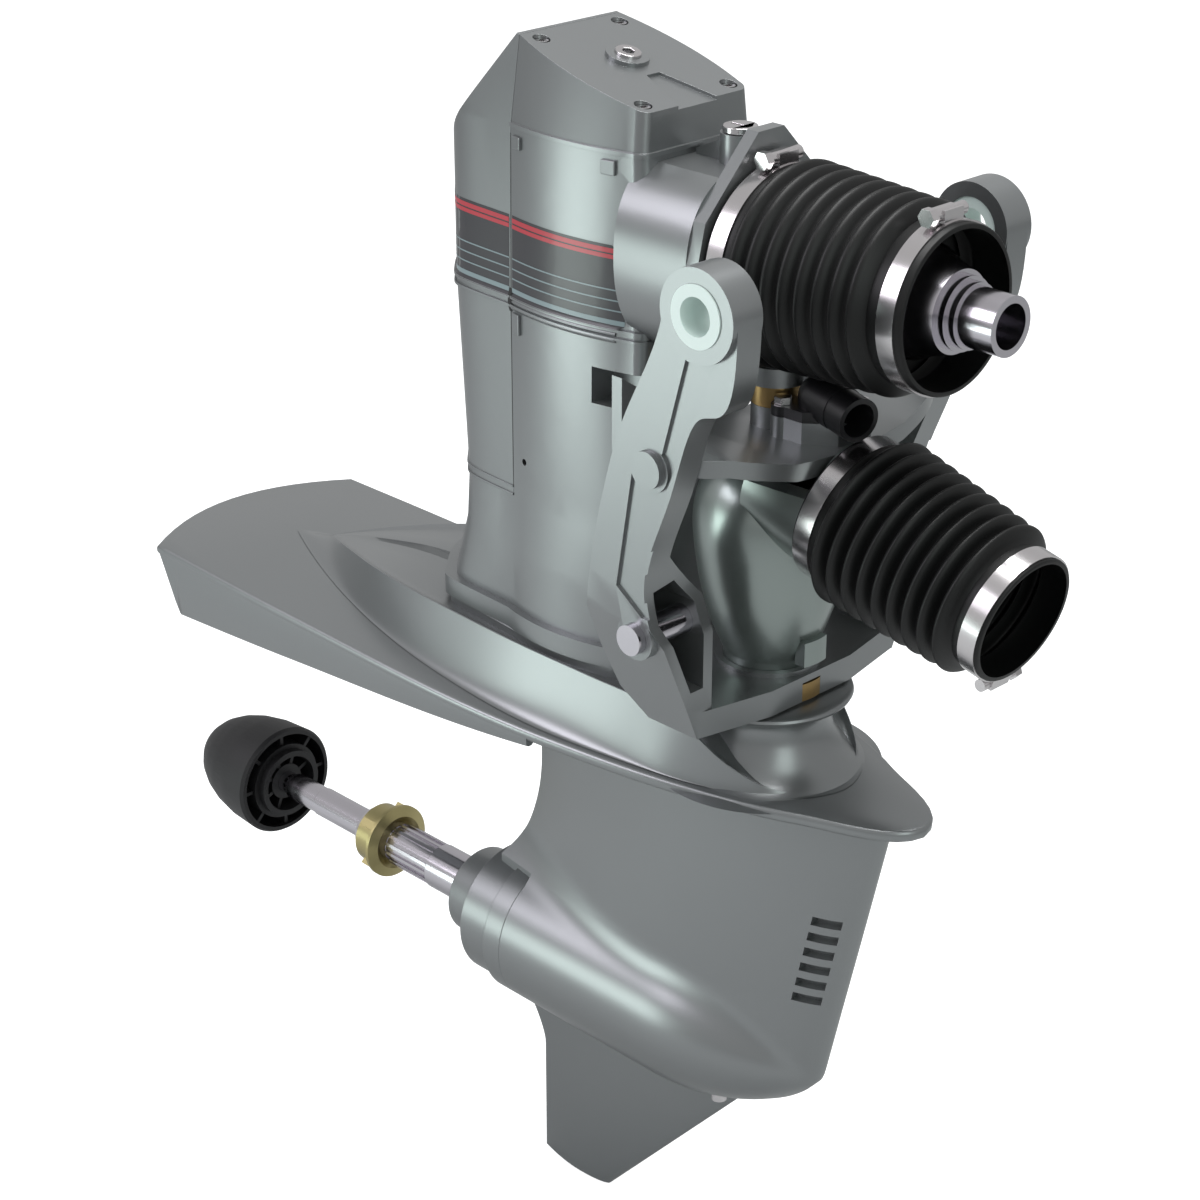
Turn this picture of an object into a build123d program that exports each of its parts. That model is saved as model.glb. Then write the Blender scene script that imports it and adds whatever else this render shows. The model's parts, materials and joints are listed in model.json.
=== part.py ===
from build123d import *
import math
import os

os.makedirs("parts", exist_ok=True)

# Frame: X forward to the boat, Y to port, Z up, millimetres
# Origin: the steering axis crosses the input shaft axis

# Axes of the drive
prop_axis_z = -600.0
gear_axis_x = -134.0
tilt_axis_x = 62.0
tilt_axis_z = 10.0
trim_pin_x = 8.0
trim_pin_z = -222.0

# Clearances
seat_gap = 0.3
run_gap = 0.05
free_gap = 1.0

# Leg casing: plan sections from the top down
leg_front_x = -73.0
seam_x = -194.0
leg_rear_x = -300.0
leg_corner_r = 9.0
leg_half = 56.0
leg_bulge = 5.0
leg_nose_depth = 30.0
leg_nose_share = 0.72
cover_lip_z = 61.0
cover_front_z = 90.0
cover_rear_z = 122.0
cover_taper = 11.0
ridge_z = -65.0
cowl_base_z = -206.0
leg_waist_z = -245.0
leg_base_z = -306.0
leg_base_flare = 6.0
leg_toe_half = 50.0
cowl_corner_z = 5.0
cowl_wall = 4.0
bead_w = 3.0
bead_out = 1.6
ledge_h = 15.0
ledge_out = 3.5

# Cover screws and oil plugs
cover_screw_r = 3.0
cover_head_r = 5.0
plug_r = 9.0
dome_x = -140.0

# Gear case in front of the leg
case_front_x = -20.0
case_half = 67.0
case_top_z = 57.0
case_foot_z = -66.0
plate_t = 10.0
plate_apex_z = 84.0
plate_apex_half = 12.0
collar_r = 60.0
collar_len = 19.0
bearing_bore_r = 31.0
gear_cavity_r = 49.0
gear_cavity_foot_z = -58.0
shaft_bore_r = 17.0

# Steering pivots
pivot_pin_r = 11.0
pivot_arm_half = 24.0
pivot_arm_front_x = 22.0
pivot_arm_foot_z = -81.0
pivot_washer_r = 16.5
disc_r = 60.0
disc_top_z = -305.0
disc_t = 6.0
spigot_r = 37.0
spigot_bore_r = 27.0
bush_t = 4.0

# Suspension fork
fork_half = 139.0
boss_proud = 4.0
boss_half = fork_half + boss_proud
boss_w = 26.0
boss_r = 30.4
tilt_bore_r = 12.5
tilt_bush_r = 20.3
arm_t = 21.0
knob_r = 12.5
knob_x = 20.0
knob_z = -101.0
relief_depth = 2.2
foot_inner_y = 87.0
foot_wall = 8.5
foot_crease_z = -212.0
foot_lean = 0.43
fork_foot_z = -303.0
fork_plate_t = 19.0
pocket_top_z = -190.0
pocket_foot_z = -266.0
trim_pin_r = 10.5
trim_pin_out = 6.0
web_t = 12.0
web_side_z = -97.0
web_mid_z = -113.0
lip_r_in = 31.5
lip_t = 5.0

# Bellows
boot_wall = 2.6
boot_lip_r = collar_r + boot_wall + seat_gap
boot_rear_x = -9.0
boot_front_x = 146.0
boot_mouth_r = 54.5
boot_folds = 7
gas_folds = 8
gas_drop_deg = 13.0
gas_start = 64.0
gas_len = 152.0
gas_start_z = -153.0
gas_lip_r = 51.0
gas_fold_r = 58.0
gas_mouth_r = 44.0
band_gap = 0.15
band_t = 1.2
band_w = 13.0
screw_r = 4.2
screw_len = 30.0
screw_head_r = 6.3
screw_head_h = 6.0

# Input line with its double universal joint
input_r = 19.3
input_bore_r = 14.5
input_end_x = 187.0
cross_rear_x = 38.0
cross_front_x = 86.0
trunnion_r = 6.0
trunnion_reach = 25.0
cross_hub_r = 11.0
ear_t = 9.0
ear_half_w = 11.0
input_shaft_r = 15.0
yoke_bell_r = 37.0

# Bevel gears, straight cut
gear_module = 4.0
pinion_teeth = 18
wheel_teeth = 21
lower_pinion_teeth = 12
lower_wheel_teeth = 20
face_w = 13.0
tooth_rise = 0.62
tooth_fall = 0.95
tooth_play = 0.16
flank_deg = 22.0
gear_back = 9.0
gear_front_share = 0.72
wheel_front_share = 0.8
wheel_hub_r = 26.0
pinion_room_r = 42.0
pinion_back_x = gear_axis_x + gear_module * wheel_teeth / 2 + gear_back
lower_pinion_room_r = 28.5
lower_pinion_top_z = prop_axis_z + gear_module * lower_wheel_teeth / 2 + gear_back
pinion_bore_r = 22.0
pinion_bearing_w = 26.0

# Vertical line
vertical_r = 11.0
clutch_r = 21.0
clutch_half = 16.0
clutch_travel = 3.0
shaft_joint_z = -230.0

# Propeller shafts
outer_r = 19.0
inner_r = 12.5
outer_end_x = -404.0
thread_r = 17.0
thread_end_x = -441.0
inner_end_x = -604.0
spline_start_x = -352.0
collar_front_x = -409.0
brass_r = 31.5
collar_w = 23.0
lug_half = 3.5
lug_count = 4
cone_base_x = -557.0
cone_tip_x = -655.0
cone_r = 48.5
cone_wall = 4.0
cone_power = 2.3
cone_steps = [0.012, 0.05, 0.12, 0.22, 0.35, 0.5, 0.7, 0.97]
cone_depth = 40.0
cup_r = 30.0
cup_wall = 5.0
cup_out = 7.0
cone_hub_r = 16.0
rib_half = 1.6
rib_count = 8

# Anti-ventilation plate
plate_aft_x = -577.0
plate_bow = 36.0
plate_aft_half = 102.5
plate_nose_x = 145.0
plate_top_z = -362.0
plate_edge_t = 9.0
plate_rise = 12.0
rim_chamfer = 2.5
rim_mid_x = -400.0
rim_mid_out = 4.0
rim_fore_x = -119.0
rim_fore_in = 3.5
rim_bow_x = -3.0
rim_bow_half = 77.0
rim_tip_x = 72.0
rim_tip_half = 51.0
skirt_depth = 46.0
skirt_rake = 26.0
deck_crest_z = -315.0
deck_foot_h = 1.0
deck_tip_half = 2.0
deck_half = 82.0
deck_flare = 10.0
step_depth = 9.0
deck_front_x = -75.0
deck_front_run = 45.0
deck_tip_x = -322.0
deck_tip_run = 198.0
deck_tail_x = -247.0
deck_tail_half = 60.0
deck_tail_flare = 26.0
deck_steps = [1.0, 0.88, 0.7, 0.45, 0.2, 0.0]
skirt_t = 7.0
skirt_front_x = -135.0

# Lower gear housing
strut_le_x = 118.0
strut_te_x = -226.0
te_reach = 32.0
te_fillet = 95.0
skeg_te_x = -228.0
skeg_reach = 30.0
skeg_fillet = 52.0
skeg_root_x = 38.0
skeg_rake = 0.905
strut_half = 37.0
torpedo_r = 59.0
torpedo_nose_x = 64.0
torpedo_mid_x = -70.0
torpedo_power = 0.7
torpedo_tail_x = -218.0
torpedo_tail_run = 60.0
skeg_foot_z = -812.0
skeg_half = 6.5
widest_share = 0.45
tail_thinning = 0.9
tail_power = 1.7
te_power = 2.0
skeg_te_power = 1.5
root_blend = 3.0
gear_room_r = 47.0
slot_count = 6
slot_top_z = -453.0
slot_pitch = 13.4
slot_h = 6.0
slot_len = 19.0
slot_back = 9.0
slot_depth = 6.0
drain_x = -24.0
drain_y = -14.0
drain_r = 6.0
carrier_ring_x = -237.0
carrier_r = 55.0
carrier_end_x = -268.0
hub_r = 36.0
hub_flare = 3.0
hub_end_x = -304.0

# Water hose elbow
elbow_x = 39.0
elbow_y = 1.0
elbow_yaw = 40.0
elbow_bolt_half = 25.0
elbow_seat_z = -97.0
elbow_flange_t = 7.0
elbow_neck_h = 5.5
elbow_hole_r = 9.0
hose_r = 15.5
hose_len = 42.0
hose_turn_deg = -14.0
hose_drop_deg = 4.0
hose_free = 24.0
hose_step = 0.5
hose_bore_r = 11.5

# Bearings and seals
input_bearing_w = 20.0
input_seal_w = 4.0
case_plug_x = -37.0
case_plug_z = 77.0

# Shift rod
shift_rod_r = 3.5
shift_rod_x = -208.0

# Propeller shaft fittings
spline_count = 16
carrier_bearing_w = 20.0
seal_r = 31.0
seal_w = 9.0


# Basic forms
def block(x0, x1, y0, y1, z0, z1):
    centre = Pos((x0 + x1) / 2, (y0 + y1) / 2, (z0 + z1) / 2)
    return centre * Box(x1 - x0, y1 - y0, z1 - z0)


def rod_x(r, x0, x1, y=0.0, z=0.0):
    return Pos((x0 + x1) / 2, y, z) * Rot(0, 90, 0) * Cylinder(r, x1 - x0)


def rod_y(r, y0, y1, x=0.0, z=0.0):
    return Pos(x, (y0 + y1) / 2, z) * Rot(90, 0, 0) * Cylinder(r, y1 - y0)


def rod_z(r, z0, z1, x=0.0, y=0.0):
    return Pos(x, y, (z0 + z1) / 2) * Cylinder(r, z1 - z0)


def tube_x(r_out, r_in, x0, x1, y=0.0, z=0.0):
    return rod_x(r_out, x0, x1, y, z) - rod_x(r_in, x0 - free_gap, x1 + free_gap, y, z)


def tube_z(r_out, r_in, z0, z1, x=0.0, y=0.0):
    return rod_z(r_out, z0, z1, x, y) - rod_z(r_in, z0 - free_gap, z1 + free_gap, x, y)


def face_xz(points):
    return make_face(Plane.XZ * Polyline(*points, close=True))


def turned_x(points, z=0.0):
    """Solid of revolution about a line along X from (x, radius) points."""
    return Pos(0, 0, z) * revolve(face_xz(points), axis=Axis.X)


def turned_z(points, x=0.0, y=0.0):
    """Solid of revolution about a line along Z from (radius, z) points."""
    return Pos(x, y, 0) * revolve(face_xz(points), axis=Axis.Z)


def slab_y(face, y0, y1):
    return Pos(0, y0, 0) * extrude(face, amount=y1 - y0, dir=(0, 1, 0))


def slab_z(face, z0, z1):
    return Pos(0, 0, z0) * extrude(face, amount=z1 - z0, dir=(0, 0, 1))


def both_sides(solid):
    return solid + mirror(solid, about=Plane.XZ)


def pair(solid):
    """Two separate solids, starboard and port, in one node."""
    return Compound(children=[*solid.solids(), *mirror(solid, about=Plane.XZ).solids()])


def group(parts):
    return Compound(children=[s for p in parts for s in p.solids()])


def hexagon_z(r, z0, z1, x=0.0, y=0.0):
    return Pos(x, y, z0) * extrude(RegularPolygon(r, 6), amount=z1 - z0)


# Leg casing
def leg_face(z, front_x, half_front, half_seam, rear_x, grow=0.0):
    """Plan outline of the leg: flat front, bulged sides, rounded tail."""
    fx = front_x + grow
    hf = half_front + grow
    hs = half_seam + grow
    rx = rear_x - grow
    c = leg_corner_r
    k = c * (1 - math.sqrt(0.5))
    mid_x = (fx + seam_x) / 2
    mid_half = max(hf, hs) + leg_bulge
    tail_x = rx + leg_nose_depth
    tail_half = hs * leg_nose_share
    sides = Line((fx, -hf + c), (fx, hf - c))
    for s in (1, -1):
        sides += ThreePointArc((fx, s * (hf - c)), (fx - k, s * (hf - k)), (fx - c, s * hf))
        sides += ThreePointArc((fx - c, s * hf), (mid_x, s * mid_half), (seam_x, s * hs))
    tail = [(seam_x, hs), (tail_x, tail_half), (rx, 0), (tail_x, -tail_half), (seam_x, -hs)]
    sides += Spline(*tail, tangents=[(-1, -0.06), (1, -0.06)])
    return Pos(0, 0, z) * make_face(sides)


def leg_stations():
    """(z, front x, front half width, seam half width, rear x) from base to top."""
    flare = leg_half + leg_base_flare
    top_z = cover_rear_z + 2 * leg_corner_r
    top_half = leg_half - cover_taper
    return [
        (leg_base_z, leg_front_x + 5, leg_toe_half, flare, leg_rear_x - 8),
        (leg_base_z + ledge_h, leg_front_x + 3, leg_toe_half, flare - 2, leg_rear_x - 4),
        (leg_waist_z, leg_front_x, leg_half + 2, leg_half + 4, leg_rear_x + 10),
        (cowl_base_z, leg_front_x, leg_half, leg_half + 2, leg_rear_x + 11),
        (ridge_z, leg_front_x, leg_half - 3, leg_half + 2, leg_rear_x + 2),
        (cover_lip_z, leg_front_x - 1, leg_half - 3, leg_half, leg_rear_x),
        (top_z, leg_front_x - 4, top_half, top_half - 1, leg_rear_x),
    ]


def leg_station(z):
    """Outline sizes at height z, between the two stations around it."""
    rows = leg_stations()
    for low, high in zip(rows, rows[1:]):
        if z <= high[0]:
            t = (z - low[0]) / (high[0] - low[0])
            return [a + (b - a) * t for a, b in zip(low, high)]
    return rows[-1]


def leg_loft(grow=0.0):
    rows = leg_stations()
    lower = loft([leg_face(*row, grow) for row in rows[:4]], ruled=True)
    upper = loft([leg_face(*row, grow) for row in rows[3:]], ruled=True)
    return lower + upper


def leg_bead(z, height, out):
    return slab_z(leg_face(0, *leg_station(z)[1:], out), z, z + height)


def above_roof(lift=0.0):
    """Everything over the sloping top cover and the slanted back of the cowl."""
    far = 500.0
    slope = (cover_rear_z - cover_front_z) / (leg_front_x - seam_x)
    front = (far, cover_front_z + lift - slope * (far - leg_front_x))
    crest = (seam_x - 3, cover_rear_z + lift)
    corner = (leg_rear_x, cowl_corner_z + lift)
    run = (crest[1] - corner[1]) / (crest[0] - corner[0])
    rear = (-far, corner[1] + run * (-far - corner[0]))
    roof = face_xz([front, crest, rear, (-far, far), (far, far)])
    return slab_y(roof, -far, far)


def behind_seam(x, foot_z):
    far = 500.0
    return block(-far, x, -far, far, foot_z, far)


def make_leg_parts():
    """Upper gear housing, top cover and rear cowl cut from one casing form."""
    casing = leg_loft() - above_roof()
    reach = 500.0
    cover_room = block(seam_x, reach, -reach, reach, cover_lip_z, reach)
    cowl_room = behind_seam(seam_x, cowl_base_z)
    cover = casing & cover_room
    cover += (leg_bead(cover_lip_z, bead_w, bead_out) & cover_room)
    cowl = casing & behind_seam(seam_x - seat_gap, cowl_base_z + seat_gap)
    for lift in (0.0, 2 * bead_w):
        cowl += leg_bead(cowl_base_z + seat_gap + lift, 1.5,
                         1.0) & cowl_room & behind_seam(seam_x - seat_gap, -reach)
    housing = casing - cover_room - cowl_room
    for lift in (0.0, 2 * bead_w):
        bead = leg_bead(ridge_z + lift, bead_w - 1, bead_out)
        housing += bead - cowl_room
        cowl += bead & behind_seam(seam_x - seat_gap, cowl_base_z)
    hollow = leg_loft(-cowl_wall) - above_roof(-cowl_wall)
    cowl -= hollow & behind_seam(seam_x + free_gap, cowl_base_z + cowl_wall)
    housing += leg_bead(leg_base_z, ledge_h, ledge_out)
    return housing, cover, cowl


def make_gear_case():
    """Barrel of the input gears, its front plate and the collar of the boot."""
    half = case_half
    top = case_top_z
    foot = case_foot_z
    right = Spline((0.55 * half, top), (half * 0.93, top * 0.5), (half, 0), (half * 0.9, foot * 0.62),
                   (half * 0.6, foot))
    left = mirror(right, about=Plane.YZ)
    outline = right + left + Line((0.55 * half, top), (-0.55 * half, top))
    outline += Line((0.6 * half, foot), (-0.6 * half, foot))
    barrel = extrude(Plane.YZ * make_face(outline), amount=case_front_x - leg_front_x + 12)
    case = Pos(leg_front_x - 12, 0, 0) * barrel
    front = case_front_x + plate_t
    shoulder = case_half - 7
    points = [(plate_apex_half, plate_apex_z), (shoulder, 34), (case_half, 4)]
    wing = Polyline(*points, (case_half - 6, -36), (40, foot), (-40, foot), (6 - case_half, -36))
    wing += Polyline((6 - case_half, -36), (-case_half, 4), (-shoulder, 34), (-plate_apex_half,
            plate_apex_z))
    wing += Line((-plate_apex_half, plate_apex_z), (plate_apex_half, plate_apex_z))
    plate = Pos(case_front_x, 0, 0) * extrude(Plane.YZ * make_face(wing), amount=plate_t)
    collar = rod_x(collar_r, case_front_x, front + collar_len)
    gusset_top = [(leg_front_x + 3, top - 2), (leg_front_x + 3, top + 4), (case_front_x, plate_apex_z),
                  (case_front_x, top - 2)]
    gusset = slab_y(face_xz(gusset_top), -plate_apex_half / 2, plate_apex_half / 2)
    return case + plate + collar + gusset


def make_upper_housing(housing):
    solid = housing + make_gear_case()
    arm = block(leg_front_x - 8, 0, -pivot_arm_front_x, pivot_arm_front_x, pivot_arm_foot_z, case_foot_z - 2)
    arm += block(leg_front_x - 8, case_front_x, -pivot_arm_half, pivot_arm_half, pivot_arm_foot_z,
                 case_foot_z + 8)
    arm += rod_z(pivot_arm_front_x, pivot_arm_foot_z, case_foot_z - 2)
    solid += arm
    solid -= rod_z(pivot_pin_r + bush_t, pivot_arm_foot_z - 5, case_foot_z)
    solid -= rod_z(gear_cavity_r, gear_cavity_foot_z, cover_rear_z, gear_axis_x)
    mouth = case_front_x + plate_t + collar_len
    solid -= rod_x(bearing_bore_r, gear_axis_x, case_front_x)
    solid -= rod_x(pinion_room_r, gear_axis_x, pinion_back_x + free_gap)
    solid += rod_z(plug_r + 4, case_top_z - 5, case_plug_z, case_plug_x)
    solid -= rod_z(plug_r, gear_cavity_foot_z, plate_apex_z, case_plug_x)
    solid -= rod_z(plug_r + 3, case_plug_z, plate_apex_z, case_plug_x)
    solid -= block(seam_x - 5, gear_axis_x, -shift_rod_r - free_gap, shift_rod_r + free_gap,
                   -shift_rod_r - free_gap - clutch_travel, shift_rod_r + free_gap + clutch_travel)
    solid -= rod_x(collar_r - 6, case_front_x, mouth + free_gap)
    solid -= rod_z(shaft_bore_r, leg_base_z - 5, gear_cavity_foot_z + 5, gear_axis_x)
    solid -= pocket_cut()
    solid -= rod_y(2.5, -100, -50, -180, -176)
    return solid


def pocket_cut():
    """Recess in the starboard side that bares the coupling bolt."""
    return block(-112, -74, -90, -40, -113, -87)


def make_cover(cover):
    lid = cover - rod_z(gear_cavity_r - 8, cover_lip_z - 5, cover_lip_z + 14, gear_axis_x)
    slope = math.degrees(math.atan2(cover_rear_z - cover_front_z, leg_front_x - seam_x))
    seat = Pos(dome_x, 0, roof_height(dome_x)) * Rot(0, slope, 0)
    lid += seat * Cylinder(15, 5)
    lid -= seat * Pos(0, 0, 4) * Cylinder(plug_r, 8)
    channel = [(leg_front_x + 5, 20), (leg_front_x + 5, -20), (-118, -6), (-118, 6)]
    groove = make_face(Polyline(*channel, close=True))
    tilt = Pos(leg_front_x, 0, cover_front_z - 3) * Rot(0, slope, 0) * Pos(-leg_front_x, 0, 0)
    lid -= tilt * extrude(groove, amount=30, dir=(0, 0, 1))
    for x, y in cover_screw_places():
        z = roof_height(x)
        lid -= rod_z(cover_screw_r + seat_gap, cover_lip_z - 5, z + 10, x, y)
        lid -= rod_z(cover_head_r + 1, z - 7, z + 15, x, y)
    return lid


def roof_height(x):
    slope = (cover_rear_z - cover_front_z) / (leg_front_x - seam_x)
    return cover_front_z + slope * (leg_front_x - x)


def cover_screw_places():
    front = leg_front_x - 12.4
    rear = seam_x + 10
    return [(front, 40.0), (front, -40.0), (rear, 36.5), (rear, -36.5)]


def make_cover_screws():
    screws = []
    for x, y in cover_screw_places():
        head_top = roof_height(x) - 2.0
        head = rod_z(cover_head_r, head_top - 5, head_top, x, y)
        socket = hexagon_z(2.6, head_top - 3, head_top + 1, x, y)
        shank = rod_z(cover_screw_r, cover_lip_z, head_top - 5, x, y)
        screws.append(head + shank - socket)
    return group(screws)


# Anti-ventilation plate with the deck and the steering neck
def leaf(side, z, aft_bow, aft_way, nose_way):
    """Plan outline at height z from its starboard side, aft corner to nose."""
    aft_x, aft_y = side[0]
    starboard = Spline(*side, tangents=[aft_way, nose_way])
    aft = ThreePointArc((aft_x, -aft_y), (aft_x - aft_bow, 0), (aft_x, aft_y))
    return Pos(0, 0, z) * make_face(starboard + mirror(starboard, about=Plane.XZ) + aft)


def rim_face(drop, inset=0.0):
    """Outline of the plate's rim, drop below its top face."""
    half = plate_aft_half - inset
    aft_x = plate_aft_x + inset
    mid = (rim_mid_x, -half - rim_mid_out)
    fore = (rim_fore_x, -half + rim_fore_in)
    bow = (rim_bow_x, -rim_bow_half + inset)
    tip = (rim_tip_x, -rim_tip_half + inset)
    side = [(aft_x, -half), mid, fore, bow, tip, (plate_nose_x - inset, 0)]
    return leaf(side, plate_top_z - drop, plate_bow, (1, -0.03), (0.1, 1))


def deck_face(k):
    """Outline of the deck that carries the leg, from its crest (0) down to its foot (1)."""
    z = deck_crest_z + (plate_top_z + deck_foot_h - deck_crest_z) * k
    front = deck_front_x + deck_front_run * k ** 1.5
    half = deck_half + deck_flare * k ** 2.2
    tail_half = deck_tail_half + deck_tail_flare * k ** 0.9
    tip = deck_tip_x - deck_tip_run * k ** 0.85
    shoulder = (front + 0.45 * (gear_axis_x - front), -half * (0.94 - 0.2 * k))
    side = [(tip, -deck_tip_half), (deck_tail_x, -tail_half), (gear_axis_x, -half), shoulder, (front, 0)]
    return leaf(side, z, deck_tip_half, (0.9, -0.45), (0, 1))


def plate_tilt():
    """Turn about the plate's nose that raises its rear end."""
    tilt = math.degrees(math.atan2(plate_rise, plate_nose_x - plate_aft_x))
    return Pos(plate_nose_x, 0, plate_top_z) * Rot(0, tilt, 0) * Pos(-plate_nose_x, 0, -plate_top_z)


def make_plate():
    """Leaf-shaped plate that rises a little aft, with the deck on it and a skirt down each side."""
    rim = [rim_face(plate_edge_t, rim_chamfer), rim_face(plate_edge_t - rim_chamfer)]
    rim += [rim_face(rim_chamfer), rim_face(0, rim_chamfer)]
    plate = plate_tilt() * loft(rim + [deck_face(k) for k in deck_steps], ruled=True)
    aft_z = plate_top_z + plate_rise
    low_z = plate_top_z - plate_edge_t
    skirt_top = plate_edge_t / 2
    wedge = [(plate_aft_x + rim_chamfer, aft_z - skirt_top), (plate_aft_x + skirt_rake,
            low_z + plate_rise - skirt_depth)]
    wedge += [(skirt_front_x, low_z), (skirt_front_x, low_z + skirt_top)]
    out = plate_aft_half - rim_chamfer
    fore = out - rim_fore_in
    outer = [(plate_aft_x, -out), (rim_mid_x, -out - rim_mid_out), (rim_fore_x, -fore)]
    inner = [(x, y + skirt_t) for x, y in reversed(outer)]
    strip = slab_z(make_face(Polyline(*outer, *inner, close=True)), low_z - skirt_depth, aft_z)
    skirt = slab_y(face_xz(wedge), -plate_aft_half - rim_mid_out, 0) & strip
    return plate + skirt + mirror(skirt, about=Plane.XZ)


def make_steering_neck():
    """Waisted neck under the fork, its round table and the hollow spigot."""
    base_z = plate_top_z - 2
    neck_r = spigot_r + 7
    under_z = disc_top_z - disc_t
    top_z = spigot_top_z()
    outline = Line((0, base_z), (disc_r + 22, base_z))
    outline += Spline((disc_r + 22, base_z), (neck_r + 9, base_z + 18), (neck_r, under_z - 12),
                      tangents=[(-1, 0.1), (0, 1)])
    outline += Polyline((neck_r, under_z - 12), (neck_r + 5, under_z), (disc_r - 3, under_z), (disc_r,
            under_z + 3),
                        (disc_r - 2, disc_top_z), (spigot_r, disc_top_z), (spigot_r, top_z), (0, top_z),
                        (0, base_z))
    return revolve(make_face(Plane.XZ * outline), axis=Axis.Z)


def spigot_top_z():
    return fork_foot_z + fork_plate_t - lip_t - free_gap


def make_intermediate_housing():
    step = leg_face(leg_base_z, *leg_station(leg_base_z)[1:], -free_gap)
    solid = make_plate() + make_steering_neck()
    solid += extrude(step, amount=step_depth, dir=(0, 0, -1))
    solid -= rod_z(spigot_bore_r, -345, -280)
    duct = face_xz([(spigot_bore_r - 3, -322), (10, -349), (-300, -349), (-300, -400), (-372, -400),
                    (-372, -340), (-20, -322)])
    solid -= slab_y(duct, -22, 22)
    solid -= rod_z(shaft_bore_r, -400, -290, gear_axis_x)
    return solid


# Lower gear housing
def torpedo_radius(x):
    """Round body behind its middle, blunt nose in front."""
    t = max(0.0, (x - torpedo_mid_x) / (torpedo_nose_x - torpedo_mid_x))
    return torpedo_r * max(0.0, 1 - t * t) ** torpedo_power


def leading_edge(z):
    """Front edge of strut, torpedo nose or skeg at height z."""
    drop = (plate_top_z - z) / (plate_top_z - prop_axis_z)
    strut = strut_le_x - (strut_le_x - torpedo_nose_x) * min(1.0, drop)
    skeg = skeg_root_x + (z - prop_axis_z) * skeg_rake
    below = (prop_axis_z - z) / torpedo_r
    if below < 0:
        return strut
    if below >= 1:
        return skeg
    nose = torpedo_mid_x + (torpedo_nose_x - torpedo_mid_x) * math.sqrt(1 - below ** (1 / torpedo_power))
    return max(nose, skeg)


def trailing_edge(z):
    """Rear edge: strut and skeg sweep aft along the bearing carrier, the torpedo ends at it."""
    off = abs(z - prop_axis_z) - torpedo_r
    if off < 0:
        return torpedo_tail_x
    if z < prop_axis_z:
        return skeg_te_x - skeg_reach * max(0.0, 1 - off / skeg_fillet) ** skeg_te_power
    return strut_te_x - te_reach * max(0.0, 1 - off / te_fillet) ** te_power


def half_width(x, z):
    """Half width of the blended strut, torpedo and skeg."""
    le = leading_edge(z)
    t = (le - x) / (le - trailing_edge(z))
    below = min(1.0, max(0.0, (prop_axis_z - z) / torpedo_r))
    thick = strut_half + (skeg_half - strut_half) * below
    nose = math.sqrt(max(0.0, 1 - (1 - t / widest_share) ** 2)) if t < widest_share else 1.0
    tail = 1 - tail_thinning * max(0.0, (t - widest_share) / (1 - widest_share)) ** tail_power
    r = torpedo_radius(x)
    chord = math.sqrt(max(0.0, r * r - (z - prop_axis_z) ** 2))
    return ((thick * nose * tail) ** root_blend + chord ** root_blend) ** (1 / root_blend)


def strut_face(z):
    """Plan section of the lower housing at height z."""
    le = leading_edge(z)
    shares = [1.0, 0.8, 0.6, 0.42, 0.26, 0.13, 0.05]
    chord = le - trailing_edge(z)
    side = [(le - t * chord, half_width(le - t * chord, z)) for t in shares]
    points = side + [(le, 0)] + [(x, -y) for x, y in reversed(side)]
    edge = Spline(*points)
    edge += Line(points[-1], points[0])
    return Pos(0, 0, z) * make_face(edge)


def make_lower_housing():
    top_z = plate_top_z - plate_edge_t
    span = top_z - prop_axis_z - torpedo_r
    heights = [top_z - share * span for share in (0.0, 0.3, 0.55, 0.75, 0.9, 0.98)]
    heights += [prop_axis_z + torpedo_r * k for k in (0.84, 0.6, 0.3, 0.0, -0.3, -0.6, -0.82, -0.96)]
    keel = prop_axis_z - torpedo_r
    heights += [keel - 6, keel - 16, keel - 34, keel - skeg_fillet, skeg_foot_z]
    solid = loft([strut_face(z) for z in heights], ruled=True)
    solid += rod_x(torpedo_r, torpedo_tail_x, torpedo_tail_x + torpedo_tail_run, 0, prop_axis_z)
    solid -= rod_x(torpedo_r + seat_gap, carrier_end_x - 60, torpedo_tail_x, 0, prop_axis_z)
    solid -= rod_x(gear_room_r, torpedo_tail_x - free_gap, gear_axis_x + 62, 0, prop_axis_z)
    solid -= rod_x(bearing_bore_r, gear_axis_x + 50, gear_axis_x + 82, 0, prop_axis_z)
    solid -= rod_z(lower_pinion_room_r, prop_axis_z, lower_pinion_top_z + free_gap, gear_axis_x)
    solid -= rod_z(pinion_bore_r, prop_axis_z, lower_pinion_top_z + pinion_bearing_w + 2 * seat_gap,
                   gear_axis_x)
    solid -= rod_z(shaft_bore_r, prop_axis_z, top_z + 5, gear_axis_x)
    solid -= rod_z(drain_r, keel_height() - 20, prop_axis_z - gear_room_r + 5, drain_x, drain_y)
    for i in range(slot_count):
        solid -= both_sides(inlet_slot(slot_top_z - i * slot_pitch))
    return solid


def inlet_slot(z):
    """One water inlet slot behind the leading edge, on the starboard side."""
    x1 = leading_edge(z) - slot_back
    x0 = x1 - slot_len
    floor = -half_width((x0 + x1) / 2, z) + slot_depth
    return block(x0, x1, -strut_half - slot_depth, floor, z - slot_h / 2, z + slot_h / 2)


def keel_height():
    """Underside of the torpedo at the drain plug."""
    r = torpedo_radius(drain_x)
    return prop_axis_z - math.sqrt(r * r - drain_y * drain_y)


def make_drain_plug():
    low = keel_height() - 5
    return rod_z(drain_r - run_gap, low, prop_axis_z - gear_room_r, drain_x, drain_y)


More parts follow.
